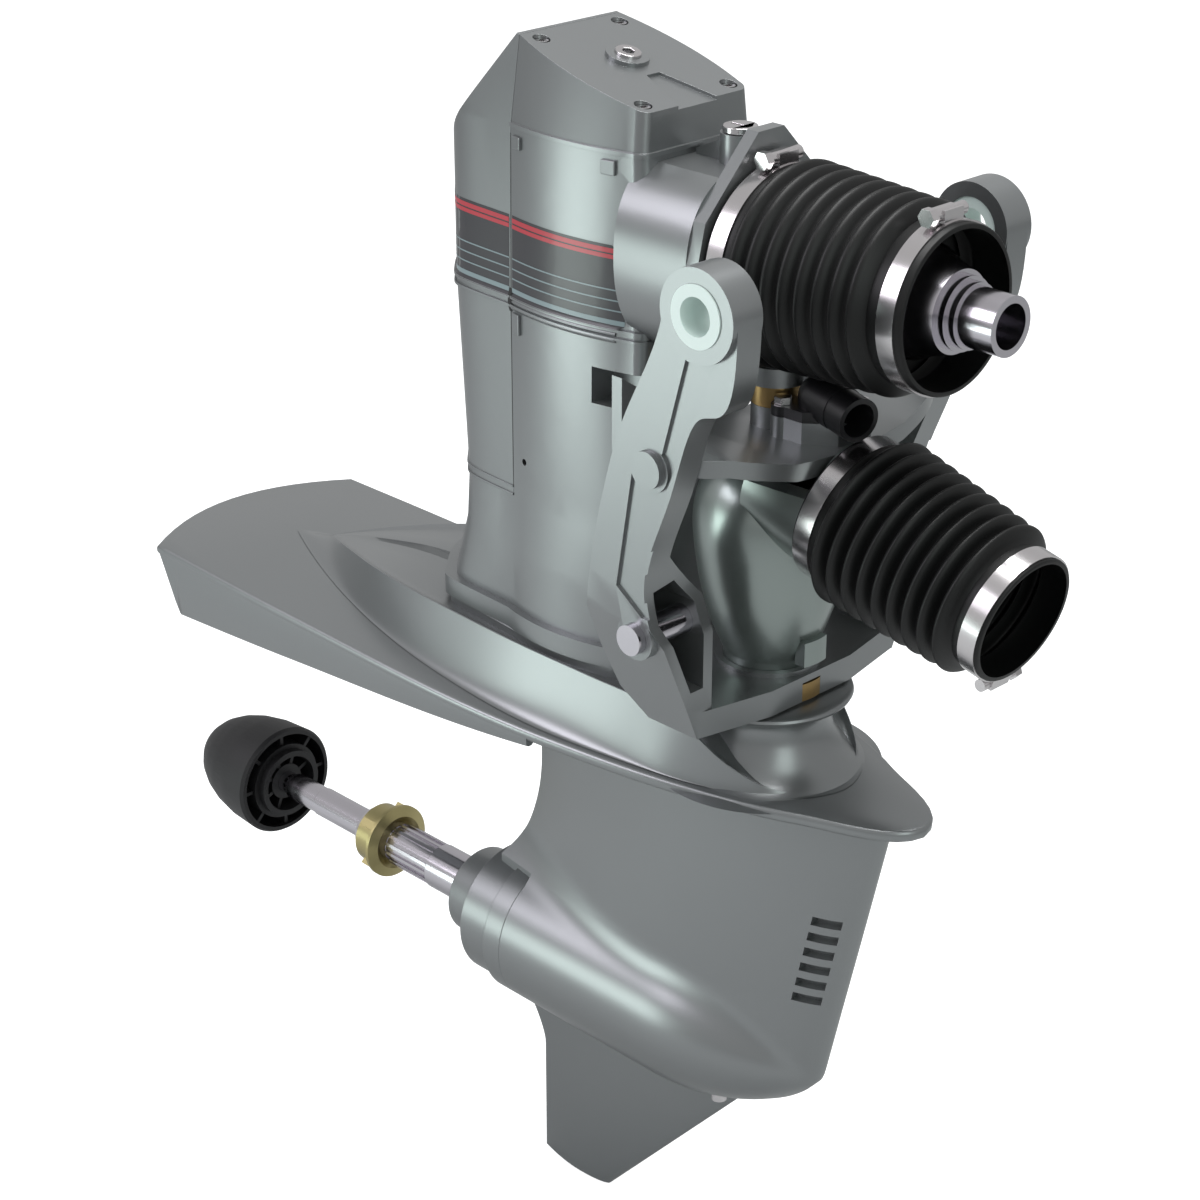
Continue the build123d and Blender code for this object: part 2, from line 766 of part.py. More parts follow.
# Suspension fork
def arm_outline():
    """Side view of one arm with its foot, in the XZ plane."""
    top = tilt_axis_x - boss_r
    aft = [(top, tilt_axis_z), (-4, -75), (-20, -123), (-31, -170), (-36.5, foot_crease_z), (-38, -250)]
    foot = [(-38, -250), (-35, -282), (-17, fork_foot_z), (28, fork_foot_z), (28.5, -280), (28.5, -227)]
    front = [(28.5, -227), (16.5, -192), (39, -114), (62, -57), (tilt_axis_x + boss_r, tilt_axis_z)]
    edge = Spline(*aft, tangents=[(-0.2, -1), (0, -1)])
    edge += Polyline(*foot)
    edge += Spline(*front, tangents=[(-0.5, 1), (0, 1)])
    edge += Line(front[-1], aft[0])
    return make_face(Plane.XZ * edge)


def foot_lean_y(z):
    """Outer face of the foot, which leans inward below its crease."""
    return -fork_half + foot_lean * max(0.0, foot_crease_z - z)


def arm_end_view():
    inner = -fork_half + arm_t
    top = tilt_axis_z + boss_r
    points = [(-fork_half, top), (-fork_half, foot_crease_z), (foot_lean_y(fork_foot_z), fork_foot_z)]
    points += [(-foot_inner_y + 12, fork_foot_z), (-foot_inner_y, fork_foot_z + fork_plate_t)]
    points += [(-foot_inner_y, pocket_top_z - 14), (inner, pocket_top_z + 22), (inner, top)]
    return make_face(Plane.YZ * Polyline(*points, close=True))


def ram_pocket():
    """Room between the walls of the foot for the eye of a trim ram."""
    outer = -fork_half + foot_wall
    inner = -foot_inner_y - foot_wall
    low = foot_lean_y(pocket_foot_z) + foot_wall
    points = [(outer, pocket_top_z), (outer, foot_crease_z), (low, pocket_foot_z)]
    points += [(inner, pocket_foot_z), (inner, pocket_top_z - 16), (inner - 16, pocket_top_z + 3)]
    face = make_face(Plane.YZ * Polyline(*points, close=True))
    return Pos(-24, 0, 0) * extrude(face, amount=80, dir=(1, 0, 0))


def make_arm():
    """Starboard arm: boss, blade, foot with its pocket and the side reliefs."""
    blade = slab_y(arm_outline(), -fork_half, -foot_inner_y + 12)
    blade &= Pos(-100, 0, 0) * extrude(arm_end_view(), amount=250, dir=(1, 0, 0))
    arm = blade + rod_y(boss_r, -boss_half, -boss_half + boss_w, tilt_axis_x, tilt_axis_z)
    arm += rod_y(trim_pin_r + 5, -fork_half, -fork_half + 12, trim_pin_x, trim_pin_z)
    arm += rod_y(knob_r, -fork_half - boss_proud, -fork_half + relief_depth, knob_x, knob_z)
    relief = [(52, -14), (31, -88), (6, -100), (-9, -190), (14, -206), (26, -206), (13, -190), (34, -114),
              (78, -10)]
    ring = CenterArc((0, 0), knob_r + 3.5, 0, 360)
    recess = face_xz(relief) - make_face(Plane.XZ * Pos(knob_x, knob_z) * ring)
    arm -= slab_y(recess, -fork_half - free_gap, -fork_half + relief_depth)
    arm -= ram_pocket()
    arm -= rod_y(tilt_bush_r + run_gap, -boss_half - 5, -fork_half + arm_t + 5, tilt_axis_x, tilt_axis_z)
    arm -= rod_y(trim_pin_r + run_gap, -fork_half - trim_pin_out, -foot_inner_y + 5, trim_pin_x, trim_pin_z)
    return arm


def make_web():
    """Dished bridge between the arms that holds the upper steering pin."""
    side = fork_half - arm_t + 0.5
    top = [(-side, web_side_z), (-100, web_side_z), (-52, web_mid_z + 4), (0, web_mid_z)]
    top += [(-y, z) for y, z in reversed(top[:-1])]
    low = [(y, z - web_t) for y, z in reversed(top)]
    band = Pos(-40, 0, 0) * extrude(make_face(Plane.YZ * Polyline(*top, *low, close=True)), amount=160,
                                    dir=(1, 0, 0))
    lip = [(30, -side), (46, -108), (66, -58), (68.5, 0)]
    lip += [(x, -y) for x, y in reversed(lip[:-1])]
    plan = Spline(*lip)
    plan += Polyline((30, side), (-34, side), (-34, -side), (30, -side))
    web = band & slab_z(make_face(plan), web_mid_z - web_t - 5, web_side_z + 5)
    web += rod_z(pivot_washer_r, web_mid_z - web_t, elbow_seat_z)
    gusset = make_face(Plane.YZ * Polyline((-side, -58), (-side, -105), (-54, -113), (-60, -98), close=True))
    rib = Pos(-34, 0, 0) * extrude(gusset, amount=9, dir=(1, 0, 0))
    web += both_sides(rib)
    pad = Pos(elbow_x, elbow_y, 0) * Rot(0, 0, elbow_yaw) * hose_pad(web_mid_z - web_t + 2, elbow_seat_z)
    web += pad
    web -= rod_z(pivot_pin_r, web_mid_z - web_t - 5, elbow_seat_z + 5)
    web -= rod_z(elbow_hole_r, web_mid_z - web_t - 5, elbow_seat_z + 5, elbow_x, elbow_y)
    for x, y in elbow_bolt_places():
        web -= rod_z(3.0, elbow_seat_z - 14, elbow_seat_z + 5, x, y)
    return web


def make_fork_plate():
    """Lower bridge round the steering spigot, with the ring under the exhaust elbow."""
    half = -foot_lean_y(fork_foot_z) - 2
    front = [(28, -half), (40, -40), (40, 40), (28, half)]
    rear = [(-18, half), (-41, 58), (-54, 31.5), (-62, 0), (-54, -31.5), (-41, -58), (-18, -half)]
    plan = Polyline(*front, rear[0])
    plan += Spline(*rear)
    plan += Line(rear[-1], front[0])
    top = fork_foot_z + fork_plate_t
    plate = slab_z(make_face(plan), fork_foot_z, top)
    plate += rod_z(lip_r_in + lip_t, fork_foot_z + 2, top + 3)
    plate -= rod_z(spigot_r + bush_t, fork_foot_z - 5, spigot_top_z() + free_gap)
    plate -= rod_z(lip_r_in, fork_foot_z, top + 10)
    return plate


def make_fork():
    fork = both_sides(make_arm()) + make_web() + make_fork_plate()
    fork += block(-12, 22, -92, -70, fork_foot_z + fork_plate_t - 2, -262) - rod_y(40, -100, 0, 30, -250)
    return fork


def make_tilt_bushes():
    outer = -boss_half - 1
    inner = -fork_half + arm_t
    bush = rod_y(tilt_bush_r, outer, inner, tilt_axis_x, tilt_axis_z)
    return pair(bush - rod_y(tilt_bore_r, outer - 5, inner + 5, tilt_axis_x, tilt_axis_z))


def make_trim_pins():
    return pair(rod_y(trim_pin_r, -fork_half - trim_pin_out, -foot_inner_y - 1, trim_pin_x, trim_pin_z))


def make_pivot_pin():
    top = case_foot_z - 4
    pin = rod_z(pivot_pin_r - run_gap, web_mid_z - web_t - 4, top)
    return pin + rod_z(pivot_pin_r + 5, web_mid_z - web_t - 6, web_mid_z - web_t - seat_gap)


def make_pivot_washer():
    return tube_z(pivot_washer_r, pivot_pin_r + seat_gap, elbow_seat_z + seat_gap,
                  pivot_arm_foot_z - seat_gap)


def make_pivot_bush():
    return tube_z(pivot_pin_r + bush_t - run_gap, pivot_pin_r, pivot_arm_foot_z, case_foot_z - 2)


def make_spigot_bush():
    return tube_z(spigot_r + bush_t - run_gap, spigot_r + run_gap, fork_foot_z + seat_gap, spigot_top_z())


# Water hose elbow on the web
def hose_pad(z0, z1):
    """Two-lobed seat under the flange, along X."""
    face = make_face(Polyline((-25, -7), (-12, -17), (12, -17), (25, -7), (25, 7), (12, 17), (-12, 17),
                              (-25, 7), close=True))
    return slab_z(face + Pos(-25, 0) * Circle(7.8) + Pos(25, 0) * Circle(7.8), z0, z1)


def elbow_bolt_places():
    c = math.cos(math.radians(elbow_yaw)) * elbow_bolt_half
    s = math.sin(math.radians(elbow_yaw)) * elbow_bolt_half
    return [(elbow_x - c, elbow_y - s), (elbow_x + c, elbow_y + s)]


def hose_axis():
    """Plane at the root of the hose spigot, its Z along the spigot."""
    down = math.radians(hose_drop_deg)
    turn = math.radians(hose_turn_deg)
    way = (math.cos(turn) * math.cos(down), math.sin(turn) * math.cos(down), -math.sin(down))
    return Plane(origin=(elbow_x, elbow_y, elbow_seat_z + elbow_flange_t + elbow_neck_h), z_dir=way)


def make_hose_elbow():
    seat = elbow_seat_z + seat_gap
    flange = Pos(elbow_x, elbow_y, 0) * Rot(0, 0, elbow_yaw) * hose_pad(seat, seat + elbow_flange_t)
    axis = hose_axis()
    dome = Pos(*axis.origin) * Sphere(hose_r)
    spigot = axis * Pos(0, 0, hose_len / 2) * Cylinder(hose_r - hose_step, hose_len)
    spigot += axis * Pos(0, 0, hose_free / 2) * Cylinder(hose_r, hose_free)
    body = flange + dome + spigot + rod_z(hose_r, seat, axis.origin.Z, elbow_x, elbow_y)
    under = block(elbow_x - 60, elbow_x + 80, elbow_y - 60, elbow_y + 60, seat - 40, seat)
    body -= under - axis * Pos(0, 0, hose_free + 40) * Cylinder(hose_r + 9, 80)
    body -= axis * Pos(0, 0, hose_len / 2) * Cylinder(hose_bore_r, hose_len + 2)
    body -= rod_z(elbow_hole_r, seat - 5, axis.origin.Z, elbow_x, elbow_y)
    for x, y in elbow_bolt_places():
        body -= rod_z(3.2, seat - 5, seat + 30, x, y)
        body -= rod_z(7.0, seat + elbow_flange_t, seat + 40, x, y)
    return body


def make_elbow_bolts():
    top = elbow_seat_z + seat_gap + elbow_flange_t
    bolts = []
    for x, y in elbow_bolt_places():
        shank = rod_z(3.0 - run_gap, elbow_seat_z - 13, top + 1, x, y)
        bolts.append(shank + hexagon_z(6.0, top + seat_gap, top + 5, x, y))
    return group(bolts)


# Exhaust elbow, bellows and clamps
def gas_frame():
    """Plane at the bellows' rear end, its X along the exhaust line."""
    return Pos(gas_start, 0, gas_start_z) * Rot(0, gas_drop_deg, 0)


def make_exhaust_elbow():
    foot = fork_foot_z + fork_plate_t - lip_t + seat_gap
    neck = lip_r_in - seat_gap
    roof = web_mid_z - web_t - 10
    outer = Polyline((0, foot), (neck, foot), (neck, foot + 12))
    outer += Spline((neck, foot + 12), (44, foot + 45), (52, foot + 85), (51, roof - 26), (40, roof - 7),
                    (20, roof), (0, roof))
    outer += Line((0, roof), (0, foot))
    body = revolve(make_face(Plane.XZ * outer), axis=Axis.Z)
    body += gas_frame() * rod_x(gas_lip_r - boot_wall - seat_gap, -50, band_w + 4)
    body -= block(-90, 71, -90, 90, roof, 0)
    body += block(34, 47, -11, 11, foot + 13, foot + 31) & rod_z(44, foot, foot + 60)
    bore = neck - 5
    body -= rod_z(bore, foot - 5, foot + 60)
    body -= turned_z([(0, foot + 50), (bore, foot + 50), (44, foot + 85), (44, roof - 28), (30, roof - 9),
                      (0, roof - 9)])
    body -= gas_frame() * rod_x(gas_lip_r - boot_wall - 6, 10, band_w + 10)
    body -= gas_frame() * rod_x(gas_lip_r - boot_wall - 14, -50, 12)
    return body


def bellows(length, lip_len, lip_r, fold_start_r, fold_end_r, depth, folds, mouth_r, mouth_len, wall):
    """Thin corrugated boot along X from 0, open at both ends."""
    outer = [(0, lip_r), (lip_len, lip_r)]
    first = lip_len + 2
    last = length - mouth_len - 2
    pitch = (last - first) / folds
    for i in range(folds):
        crest = fold_start_r + (fold_end_r - fold_start_r) * (i + 0.5) / folds
        root = crest - depth
        x = first + i * pitch
        outer += [(x, root), (x + 0.35 * pitch, crest), (x + 0.65 * pitch, crest)]
    outer += [(last, mouth_r - 2), (length - mouth_len, mouth_r), (length, mouth_r)]
    inner = [(x, r - wall) for x, r in reversed(outer)]
    return turned_x(outer + inner)


def make_boot():
    length = boot_front_x - boot_rear_x
    return Pos(boot_rear_x, 0, 0) * bellows(length, band_w + 5, boot_lip_r, 68, 57, 5, boot_folds,
                                            boot_mouth_r, 26, boot_wall)


def make_gas_boot():
    return gas_frame() * bellows(gas_len, band_w + 5, gas_lip_r, gas_fold_r, 50, 9, gas_folds,
                                 gas_mouth_r, 20, boot_wall)


def screw_height(r):
    return r + band_gap + band_t + screw_r + seat_gap


def clamp_band(r, x):
    """Worm clamp round X at x: band and the housing of its screw on top."""
    band = tube_x(r + band_gap + band_t, r + band_gap, x - band_w / 2, x + band_w / 2)
    saddle = block(x - screw_r - 1, x + screw_r + 1, -9, 9, r + band_gap + band_t / 2,
                   screw_height(r) + screw_r - 1)
    saddle -= rod_x(r + band_gap, x - band_w, x + band_w)
    return band + saddle - rod_y(screw_r + run_gap, -20, 20, x, screw_height(r))


def clamp_screw(r, x):
    z = screw_height(r)
    head = Pos(x, -screw_len / 2, z) * Rot(90, 0, 0) * extrude(RegularPolygon(screw_head_r, 6),
            amount=screw_head_h)
    return rod_y(screw_r, -screw_len / 2, screw_len / 2, x, z) + head


# Input line
def ears(x0, x1, turn):
    """Two yoke ears from x0 to the trunnions at x1, spread along Z, then turned about X."""
    arm = block(min(x0, x1), max(x0, x1), -ear_half_w, ear_half_w, trunnion_reach - ear_t, trunnion_reach)
    arm += rod_z(ear_half_w, trunnion_reach - ear_t, trunnion_reach, x1)
    arm -= rod_z(trunnion_r + run_gap, trunnion_reach - ear_t - 2, trunnion_reach + 2, x1)
    return Rot(turn, 0, 0) * (arm + mirror(arm, about=Plane.XY))


def make_cross(x):
    body = rod_x(cross_hub_r, x - 7, x + 7)
    body += rod_z(trunnion_r, -trunnion_reach, trunnion_reach, x)
    body += rod_y(trunnion_r, -trunnion_reach, trunnion_reach, x)
    return body


def make_rear_yoke():
    hub = turned_x([(-6, input_shaft_r + run_gap), (-6, 22), (2, trunnion_reach + 2), (10,
            trunnion_reach + 2), (10, input_shaft_r + run_gap)])
    return hub + ears(9, cross_rear_x, 0)


def make_centre_yoke():
    mid = (cross_rear_x + cross_front_x) / 2
    ring = tube_x(trunnion_reach + 2, trunnion_reach - ear_t - 2, mid - 5, mid + 5)
    return ring + ears(mid, cross_rear_x, 90) + ears(mid, cross_front_x, 90)


def make_input_shaft():
    root = cross_front_x + 24
    end = input_end_x
    outer = [(root, 0), (root, 28), (root + 6, yoke_bell_r), (root + 12, yoke_bell_r), (root + 22, 32),
             (root + 32, 29)]
    outer += [(root + 38, 27), (root + 38, 24), (root + 44, 24), (root + 44, input_r + 2), (root + 50,
            input_r + 2)]
    outer += [(root + 50, input_r), (end, input_r), (end, 0)]
    body = turned_x(outer) + ears(root + 2, cross_front_x, 0)
    return body - rod_x(input_bore_r, end - 45, end + 5)


# Bevel gears
def bevel_gear(teeth, mate_teeth, back_len, hub_r, hub_front, bore_r):
    """Straight bevel gear on +Z, its cone point at the origin, a tooth over +X."""
    pitch_r = gear_module * teeth / 2
    reach = gear_module * mate_teeth / 2
    cone = math.atan2(pitch_r, reach)
    outer = math.hypot(pitch_r, reach)
    shrink = (outer - face_w) / outer
    rise = tooth_rise * gear_module
    fall = tooth_fall * gear_module

    def spot(height):
        r = pitch_r + height * math.cos(cone)
        z = reach - height * math.sin(cone)
        return r, z

    root_r, root_z = spot(-fall)
    back_z = reach + back_len
    body = turned_z([(0, hub_front), (hub_r, hub_front), (root_r * shrink, root_z * shrink), (root_r,
            root_z),
                     (root_r + 1, root_z + 2), (root_r - 2, back_z), (0, back_z)])
    quarter = math.pi / (2 * teeth) * (1 - tooth_play)
    lean = math.tan(math.radians(flank_deg)) / pitch_r
    rows = []
    for height in (-fall - 0.4, rise):
        r, z = spot(height)
        angle = quarter - lean * height
        rows.append((r * math.cos(angle), r * math.sin(angle), z))
    (rx, ry, rz), (tx, ty, tz) = rows
    big = [(rx, -ry, rz), (rx, ry, rz), (tx, ty, tz), (tx, -ty, tz)]
    faces = [make_face(Polyline(*[Vector(*p) * k for p in big], close=True)) for k in (1.0, shrink)]
    tooth = loft(faces, ruled=True)
    body += [Rot(0, 0, 360 * i / teeth) * tooth for i in range(teeth)]
    return body - rod_z(bore_r, hub_front - 5, back_z + 5)


def make_pinion():
    gear = bevel_gear(pinion_teeth, wheel_teeth, gear_back, 22, 0.78 * gear_module * wheel_teeth / 2,
                      input_shaft_r - 4)
    placed = Pos(gear_axis_x, 0, 0) * Rot(0, 90, 0) * gear
    start = gear_axis_x + 0.78 * gear_module * wheel_teeth / 2
    return placed + rod_x(input_shaft_r, start, 9.5)


def make_input_bearings():
    rear = pinion_back_x + seat_gap
    front = case_front_x - input_seal_w - seat_gap
    rings = [(rear, rear + input_bearing_w), (front - input_bearing_w, front)]
    return group([tube_x(bearing_bore_r - run_gap, input_shaft_r + run_gap, x0, x1) for x0, x1 in rings])


def make_input_seal():
    return tube_x(bearing_bore_r - run_gap, input_shaft_r + run_gap, case_front_x - input_seal_w,
                  case_front_x)


def make_case_plug():
    """Slotted plug on the boss over the input gears."""
    top = case_plug_z + 4.5
    plug = rod_z(plug_r + 2.5, case_plug_z + seat_gap, top, case_plug_x)
    plug += rod_z(plug_r - run_gap, case_plug_z - 14, top - 1, case_plug_x)
    return plug - block(case_plug_x - 8, case_plug_x + 8, -1.4, 1.4, top - 2.5, top + 1)


def make_top_plug():
    """Oil plug in the dome of the top cover."""
    x = dome_x
    slope = math.degrees(math.atan2(cover_rear_z - cover_front_z, leg_front_x - seam_x))
    seat = Pos(x, 0, roof_height(x)) * Rot(0, slope, 0)
    plug = seat * Pos(0, 0, 2.5) * Cylinder(plug_r - run_gap, 4.4)
    return plug - seat * extrude(RegularPolygon(4.5, 6), amount=10)


def make_wheel(side):
    front = clutch_half + clutch_travel + seat_gap
    gear = bevel_gear(wheel_teeth, pinion_teeth, gear_back, clutch_r + 2, front, vertical_r + run_gap)
    gear = Rot(0, 0, 180 / wheel_teeth) * gear
    flip = Rot(0, 0, 0) if side > 0 else Rot(180, 0, 0)
    return Pos(gear_axis_x, 0, 0) * flip * gear


def make_clutch():
    cone = clutch_r - 4
    points = [(vertical_r + run_gap, -clutch_half), (cone, -clutch_half), (clutch_r, -7), (clutch_r, -4),
              (clutch_r - 5, -4)]
    points += [(clutch_r - 5, 4), (clutch_r, 4), (clutch_r, 7), (cone, clutch_half),
               (vertical_r + run_gap, clutch_half)]
    return turned_z(points, gear_axis_x)


def make_shift_shoe():
    groove = gear_axis_x - clutch_r + 5 - seat_gap
    shoe = block(groove - 12, groove, -6, 6, -4 + seat_gap, 4 - seat_gap)
    return shoe + rod_x(shift_rod_r, shift_rod_x, groove - 10)


def make_shift_lever():
    """Plate in the cowl with the eye of the shift cable at its foot."""
    x = shift_rod_x
    plate = block(x - 6, x - seat_gap, -9, 9, -70, 10)
    return plate + rod_y(5, -14, 14, x - 3, -64)


def gear_top_z():
    return gear_module * pinion_teeth / 2 + gear_back


def make_gear_bearings():
    low = -gear_top_z() - seat_gap
    floor = gear_cavity_foot_z + seat_gap
    lower = tube_z(30, vertical_r + run_gap, floor, low, gear_axis_x)
    upper = tube_z(gear_cavity_r - 8 - run_gap, vertical_r + run_gap, -low, cover_lip_z + 10, gear_axis_x)
    return group([lower, upper])


def make_upper_shaft():
    return rod_z(vertical_r, shaft_joint_z, cover_lip_z - seat_gap, gear_axis_x)


def make_shaft_sleeve():
    sleeve = tube_z(vertical_r + 4.5, vertical_r + run_gap, shaft_joint_z - 18, shaft_joint_z + 18,
                    gear_axis_x)
    return sleeve


def make_lower_shaft():
    foot = gear_front_share * gear_module * lower_wheel_teeth / 2
    gear = bevel_gear(lower_pinion_teeth, lower_wheel_teeth, gear_back, vertical_r + 3, foot, 4)
    shaft = rod_z(vertical_r, prop_axis_z + foot, shaft_joint_z - seat_gap, gear_axis_x)
    return Pos(gear_axis_x, 0, prop_axis_z) * gear + shaft


def make_pinion_bearing():
    low = lower_pinion_top_z + seat_gap
    return tube_z(pinion_bore_r - run_gap, vertical_r + run_gap, low, low + pinion_bearing_w, gear_axis_x)


# Propeller shafts
def driven_wheel(side, bore_r):
    """Lower driven gear, in front (+1) of the pinion or behind it (-1)."""
    front = wheel_front_share * gear_module * lower_pinion_teeth / 2
    gear = bevel_gear(lower_wheel_teeth, lower_pinion_teeth, gear_back, wheel_hub_r, front, bore_r)
    turned = Rot(0, 0, 180 / lower_wheel_teeth) * gear
    if side > 0:
        turned = Rot(0, 0, 180) * turned
    return Pos(gear_axis_x, 0, prop_axis_z) * Rot(0, 90 * side, 0) * turned


def make_front_wheel():
    return driven_wheel(1, inner_r + run_gap)


def make_rear_wheel():
    return driven_wheel(-1, outer_r - 2)


def make_outer_shaft():
    reach = gear_module * lower_pinion_teeth / 2
    front = gear_axis_x - wheel_front_share * reach
    step = gear_axis_x - reach - gear_back - seat_gap
    points = [(front, inner_r + run_gap), (front, outer_r - 2 - run_gap), (step, outer_r - 2 - run_gap),
              (step, outer_r)]
    points += [(spline_start_x, outer_r), (spline_start_x - 2, outer_r - 2.5), (outer_end_x,
            outer_r - 2.5), (outer_end_x, thread_r)]
    points += [(thread_end_x, thread_r), (thread_end_x, inner_r + run_gap)]
    shaft = turned_x(points, prop_axis_z)
    rib = block(outer_end_x, spline_start_x - 1, -1.3, 1.3, outer_r - 4, outer_r - 0.8)
    for i in range(spline_count):
        shaft += Pos(0, 0, prop_axis_z) * Rot(360 * i / spline_count, 0, 0) * rib
    return shaft


def make_inner_shaft():
    front = gear_axis_x + 62
    points = [(front, 0), (front, inner_r), (inner_end_x + 100, inner_r), (inner_end_x + 99,
            inner_r - 0.8), (inner_end_x + 62, inner_r - 0.8)]
    points += [(inner_end_x + 58, inner_r - 3), (inner_end_x, inner_r - 3), (inner_end_x, 0)]
    return turned_x(points, prop_axis_z)


def make_front_bearing():
    low = gear_axis_x + gear_module * lower_pinion_teeth / 2 + gear_back + seat_gap
    return tube_x(bearing_bore_r - run_gap, inner_r + run_gap, low, gear_axis_x + 82 - seat_gap, 0,
                  prop_axis_z)


def make_carrier():
    """Bearing carrier that closes the torpedo, with the hub round the shafts."""
    tail = torpedo_tail_x - seat_gap
    front = gear_axis_x - gear_module * lower_pinion_teeth / 2 - gear_back - free_gap - carrier_bearing_w
    points = [(front, outer_r + free_gap), (front, gear_room_r - run_gap), (tail, gear_room_r - run_gap)]
    points += [(tail, torpedo_r), (carrier_ring_x, torpedo_r), (carrier_ring_x, carrier_r),
               (carrier_end_x, carrier_r)]
    points += [(carrier_end_x, hub_r + hub_flare), (hub_end_x + 1, hub_r), (hub_end_x, hub_r - 1),
               (hub_end_x, seal_r)]
    points += [(hub_end_x + seal_w, seal_r), (hub_end_x + seal_w, outer_r + free_gap)]
    return turned_x(points, prop_axis_z)


def make_rear_bearing():
    front = gear_axis_x - gear_module * lower_pinion_teeth / 2 - gear_back
    return tube_x(gear_room_r - run_gap, outer_r + run_gap,
                  front - free_gap - carrier_bearing_w + seat_gap, front - seat_gap, 0, prop_axis_z)


def make_shaft_seal():
    return tube_x(seal_r - run_gap, outer_r + run_gap, hub_end_x + seat_gap,
                  hub_end_x + seal_w - seat_gap, 0, prop_axis_z)


def make_brass_collar():
    """Thrust nut of the front propeller on the thread of the outer shaft."""
    bore = thread_r + run_gap
    front = collar_front_x
    rear = front - collar_w
    points = [(front + 3, outer_r + 4), (front, brass_r), (front - 3, brass_r), (front - 5, brass_r - 6),
              (rear, brass_r - 6)]
    points += [(rear, bore), (front - 3, bore), (front + 1, outer_r + 2)]
    collar = turned_x(points, prop_axis_z)
    lug = block(rear + 4, front - 2, -lug_half, lug_half, brass_r - 8, brass_r - 2)
    for i in range(lug_count):
        collar += Pos(0, 0, prop_axis_z) * Rot(360 * (i + 0.5) / lug_count, 0, 0) * lug
    return collar


def make_lock_ring():
    front = collar_front_x - collar_w - seat_gap
    rear = thread_end_x + free_gap
    points = [(front, thread_r + run_gap), (front, outer_r + 2), (rear + 1, outer_r + 1), (rear, outer_r),
              (rear, thread_r + run_gap)]
    return turned_x(points, prop_axis_z)


def make_cone():
    """Hollow bullet with an open ribbed front and a hub on the inner shaft."""
    base = cone_base_x
    length = base - cone_tip_x
    deep = base - cone_depth
    profile = [(cone_tip_x + length * k, cone_r * math.sqrt(1 - (1 - k) ** cone_power)) for k in cone_steps]
    cone = turned_x([(cone_tip_x, 0), *profile, (base, cone_r - 2), (base, 0)])
    rim = cone_r - cone_wall
    cone -= turned_x([(base + 5, cup_r + 4), (base + 5, rim - 2), (base - 12, rim), (deep, rim - 4),
                      (deep, cup_r + 4)])
    cone += rod_x(cup_r, deep - 2, base + cup_out)
    cone -= tube_x(cup_r - cup_wall, cone_hub_r, deep, base + cup_out + 5)
    cone -= tube_x(cone_hub_r + 1, 0.5 * inner_r, base + 1, base + cup_out + 5)
    for i in range(rib_count):
        turn = 360 * i / rib_count
        cone += Rot(turn, 0, 0) * block(deep - 1, base - 3, -rib_half, rib_half, cup_r - 1, rim - 1)
        cone += Rot(turn + 22.5, 0, 0) * block(deep - 1, base, -rib_half, rib_half, cone_hub_r - 1,
                                               cup_r - cup_wall + 1)
    cone -= rod_x(inner_r - 3 + run_gap, inner_end_x - seat_gap, base + cup_out)
    return Pos(0, 0, prop_axis_z) * cone


NODES = {}
leg_housing, leg_cover, leg_cowl = make_leg_parts()
NODES["upper_gear_housing"] = make_upper_housing(leg_housing)
NODES["top_cover"] = make_cover(leg_cover)
NODES["rear_cowl"] = leg_cowl
NODES["top_cover_screws"] = make_cover_screws()
NODES["intermediate_housing"] = make_intermediate_housing()
NODES["lower_gear_housing"] = make_lower_housing()
NODES["drain_plug"] = make_drain_plug()
NODES["suspension_fork"] = make_fork()
NODES["tilt_bushes"] = make_tilt_bushes()
NODES["trim_pins"] = make_trim_pins()
NODES["upper_pivot_pin"] = make_pivot_pin()
NODES["pivot_washer"] = make_pivot_washer()
NODES["upper_pivot_bush"] = make_pivot_bush()
NODES["lower_pivot_bush"] = make_spigot_bush()
NODES["hose_elbow"] = make_hose_elbow()
NODES["hose_elbow_bolts"] = make_elbow_bolts()
NODES["exhaust_elbow"] = make_exhaust_elbow()
NODES["exhaust_bellows"] = make_gas_boot()
gas_front = gas_len - band_w / 2 - 2
gas_rear = band_w / 2 + 2
gas_rear_turn = gas_frame() * Rot(-130, 0, 0)
gas_front_turn = gas_frame() * Rot(180, 0, 0)
NODES["exhaust_clamp_bands"] = group([gas_rear_turn * clamp_band(gas_lip_r, gas_rear),
                                      gas_front_turn * clamp_band(gas_mouth_r, gas_front)])
NODES["exhaust_clamp_screws"] = group([gas_rear_turn * clamp_screw(gas_lip_r, gas_rear),
                                       gas_front_turn * clamp_screw(gas_mouth_r, gas_front)])
NODES["joint_bellows"] = make_boot()
boot_back = boot_rear_x + band_w / 2 + 3
boot_fore = boot_front_x - band_w / 2 - 5
NODES["joint_clamp_bands"] = group([clamp_band(boot_lip_r, boot_back), clamp_band(boot_mouth_r, boot_fore)])
NODES["joint_clamp_screws"] = group([clamp_screw(boot_lip_r, boot_back), clamp_screw(boot_mouth_r,
        boot_fore)])
NODES["rear_yoke"] = make_rear_yoke()
NODES["rear_cross"] = make_cross(cross_rear_x)
NODES["centre_yoke"] = make_centre_yoke()
NODES["front_cross"] = make_cross(cross_front_x)
NODES["input_shaft"] = make_input_shaft()
NODES["input_pinion"] = make_pinion()
NODES["input_bearings"] = make_input_bearings()
NODES["input_seal"] = make_input_seal()
NODES["case_top_plug"] = make_case_plug()
NODES["oil_plug"] = make_top_plug()
NODES["upper_gear_wheel"] = make_wheel(1)
NODES["lower_gear_wheel"] = make_wheel(-1)
NODES["clutch_cone"] = make_clutch()
NODES["shift_shoe"] = make_shift_shoe()
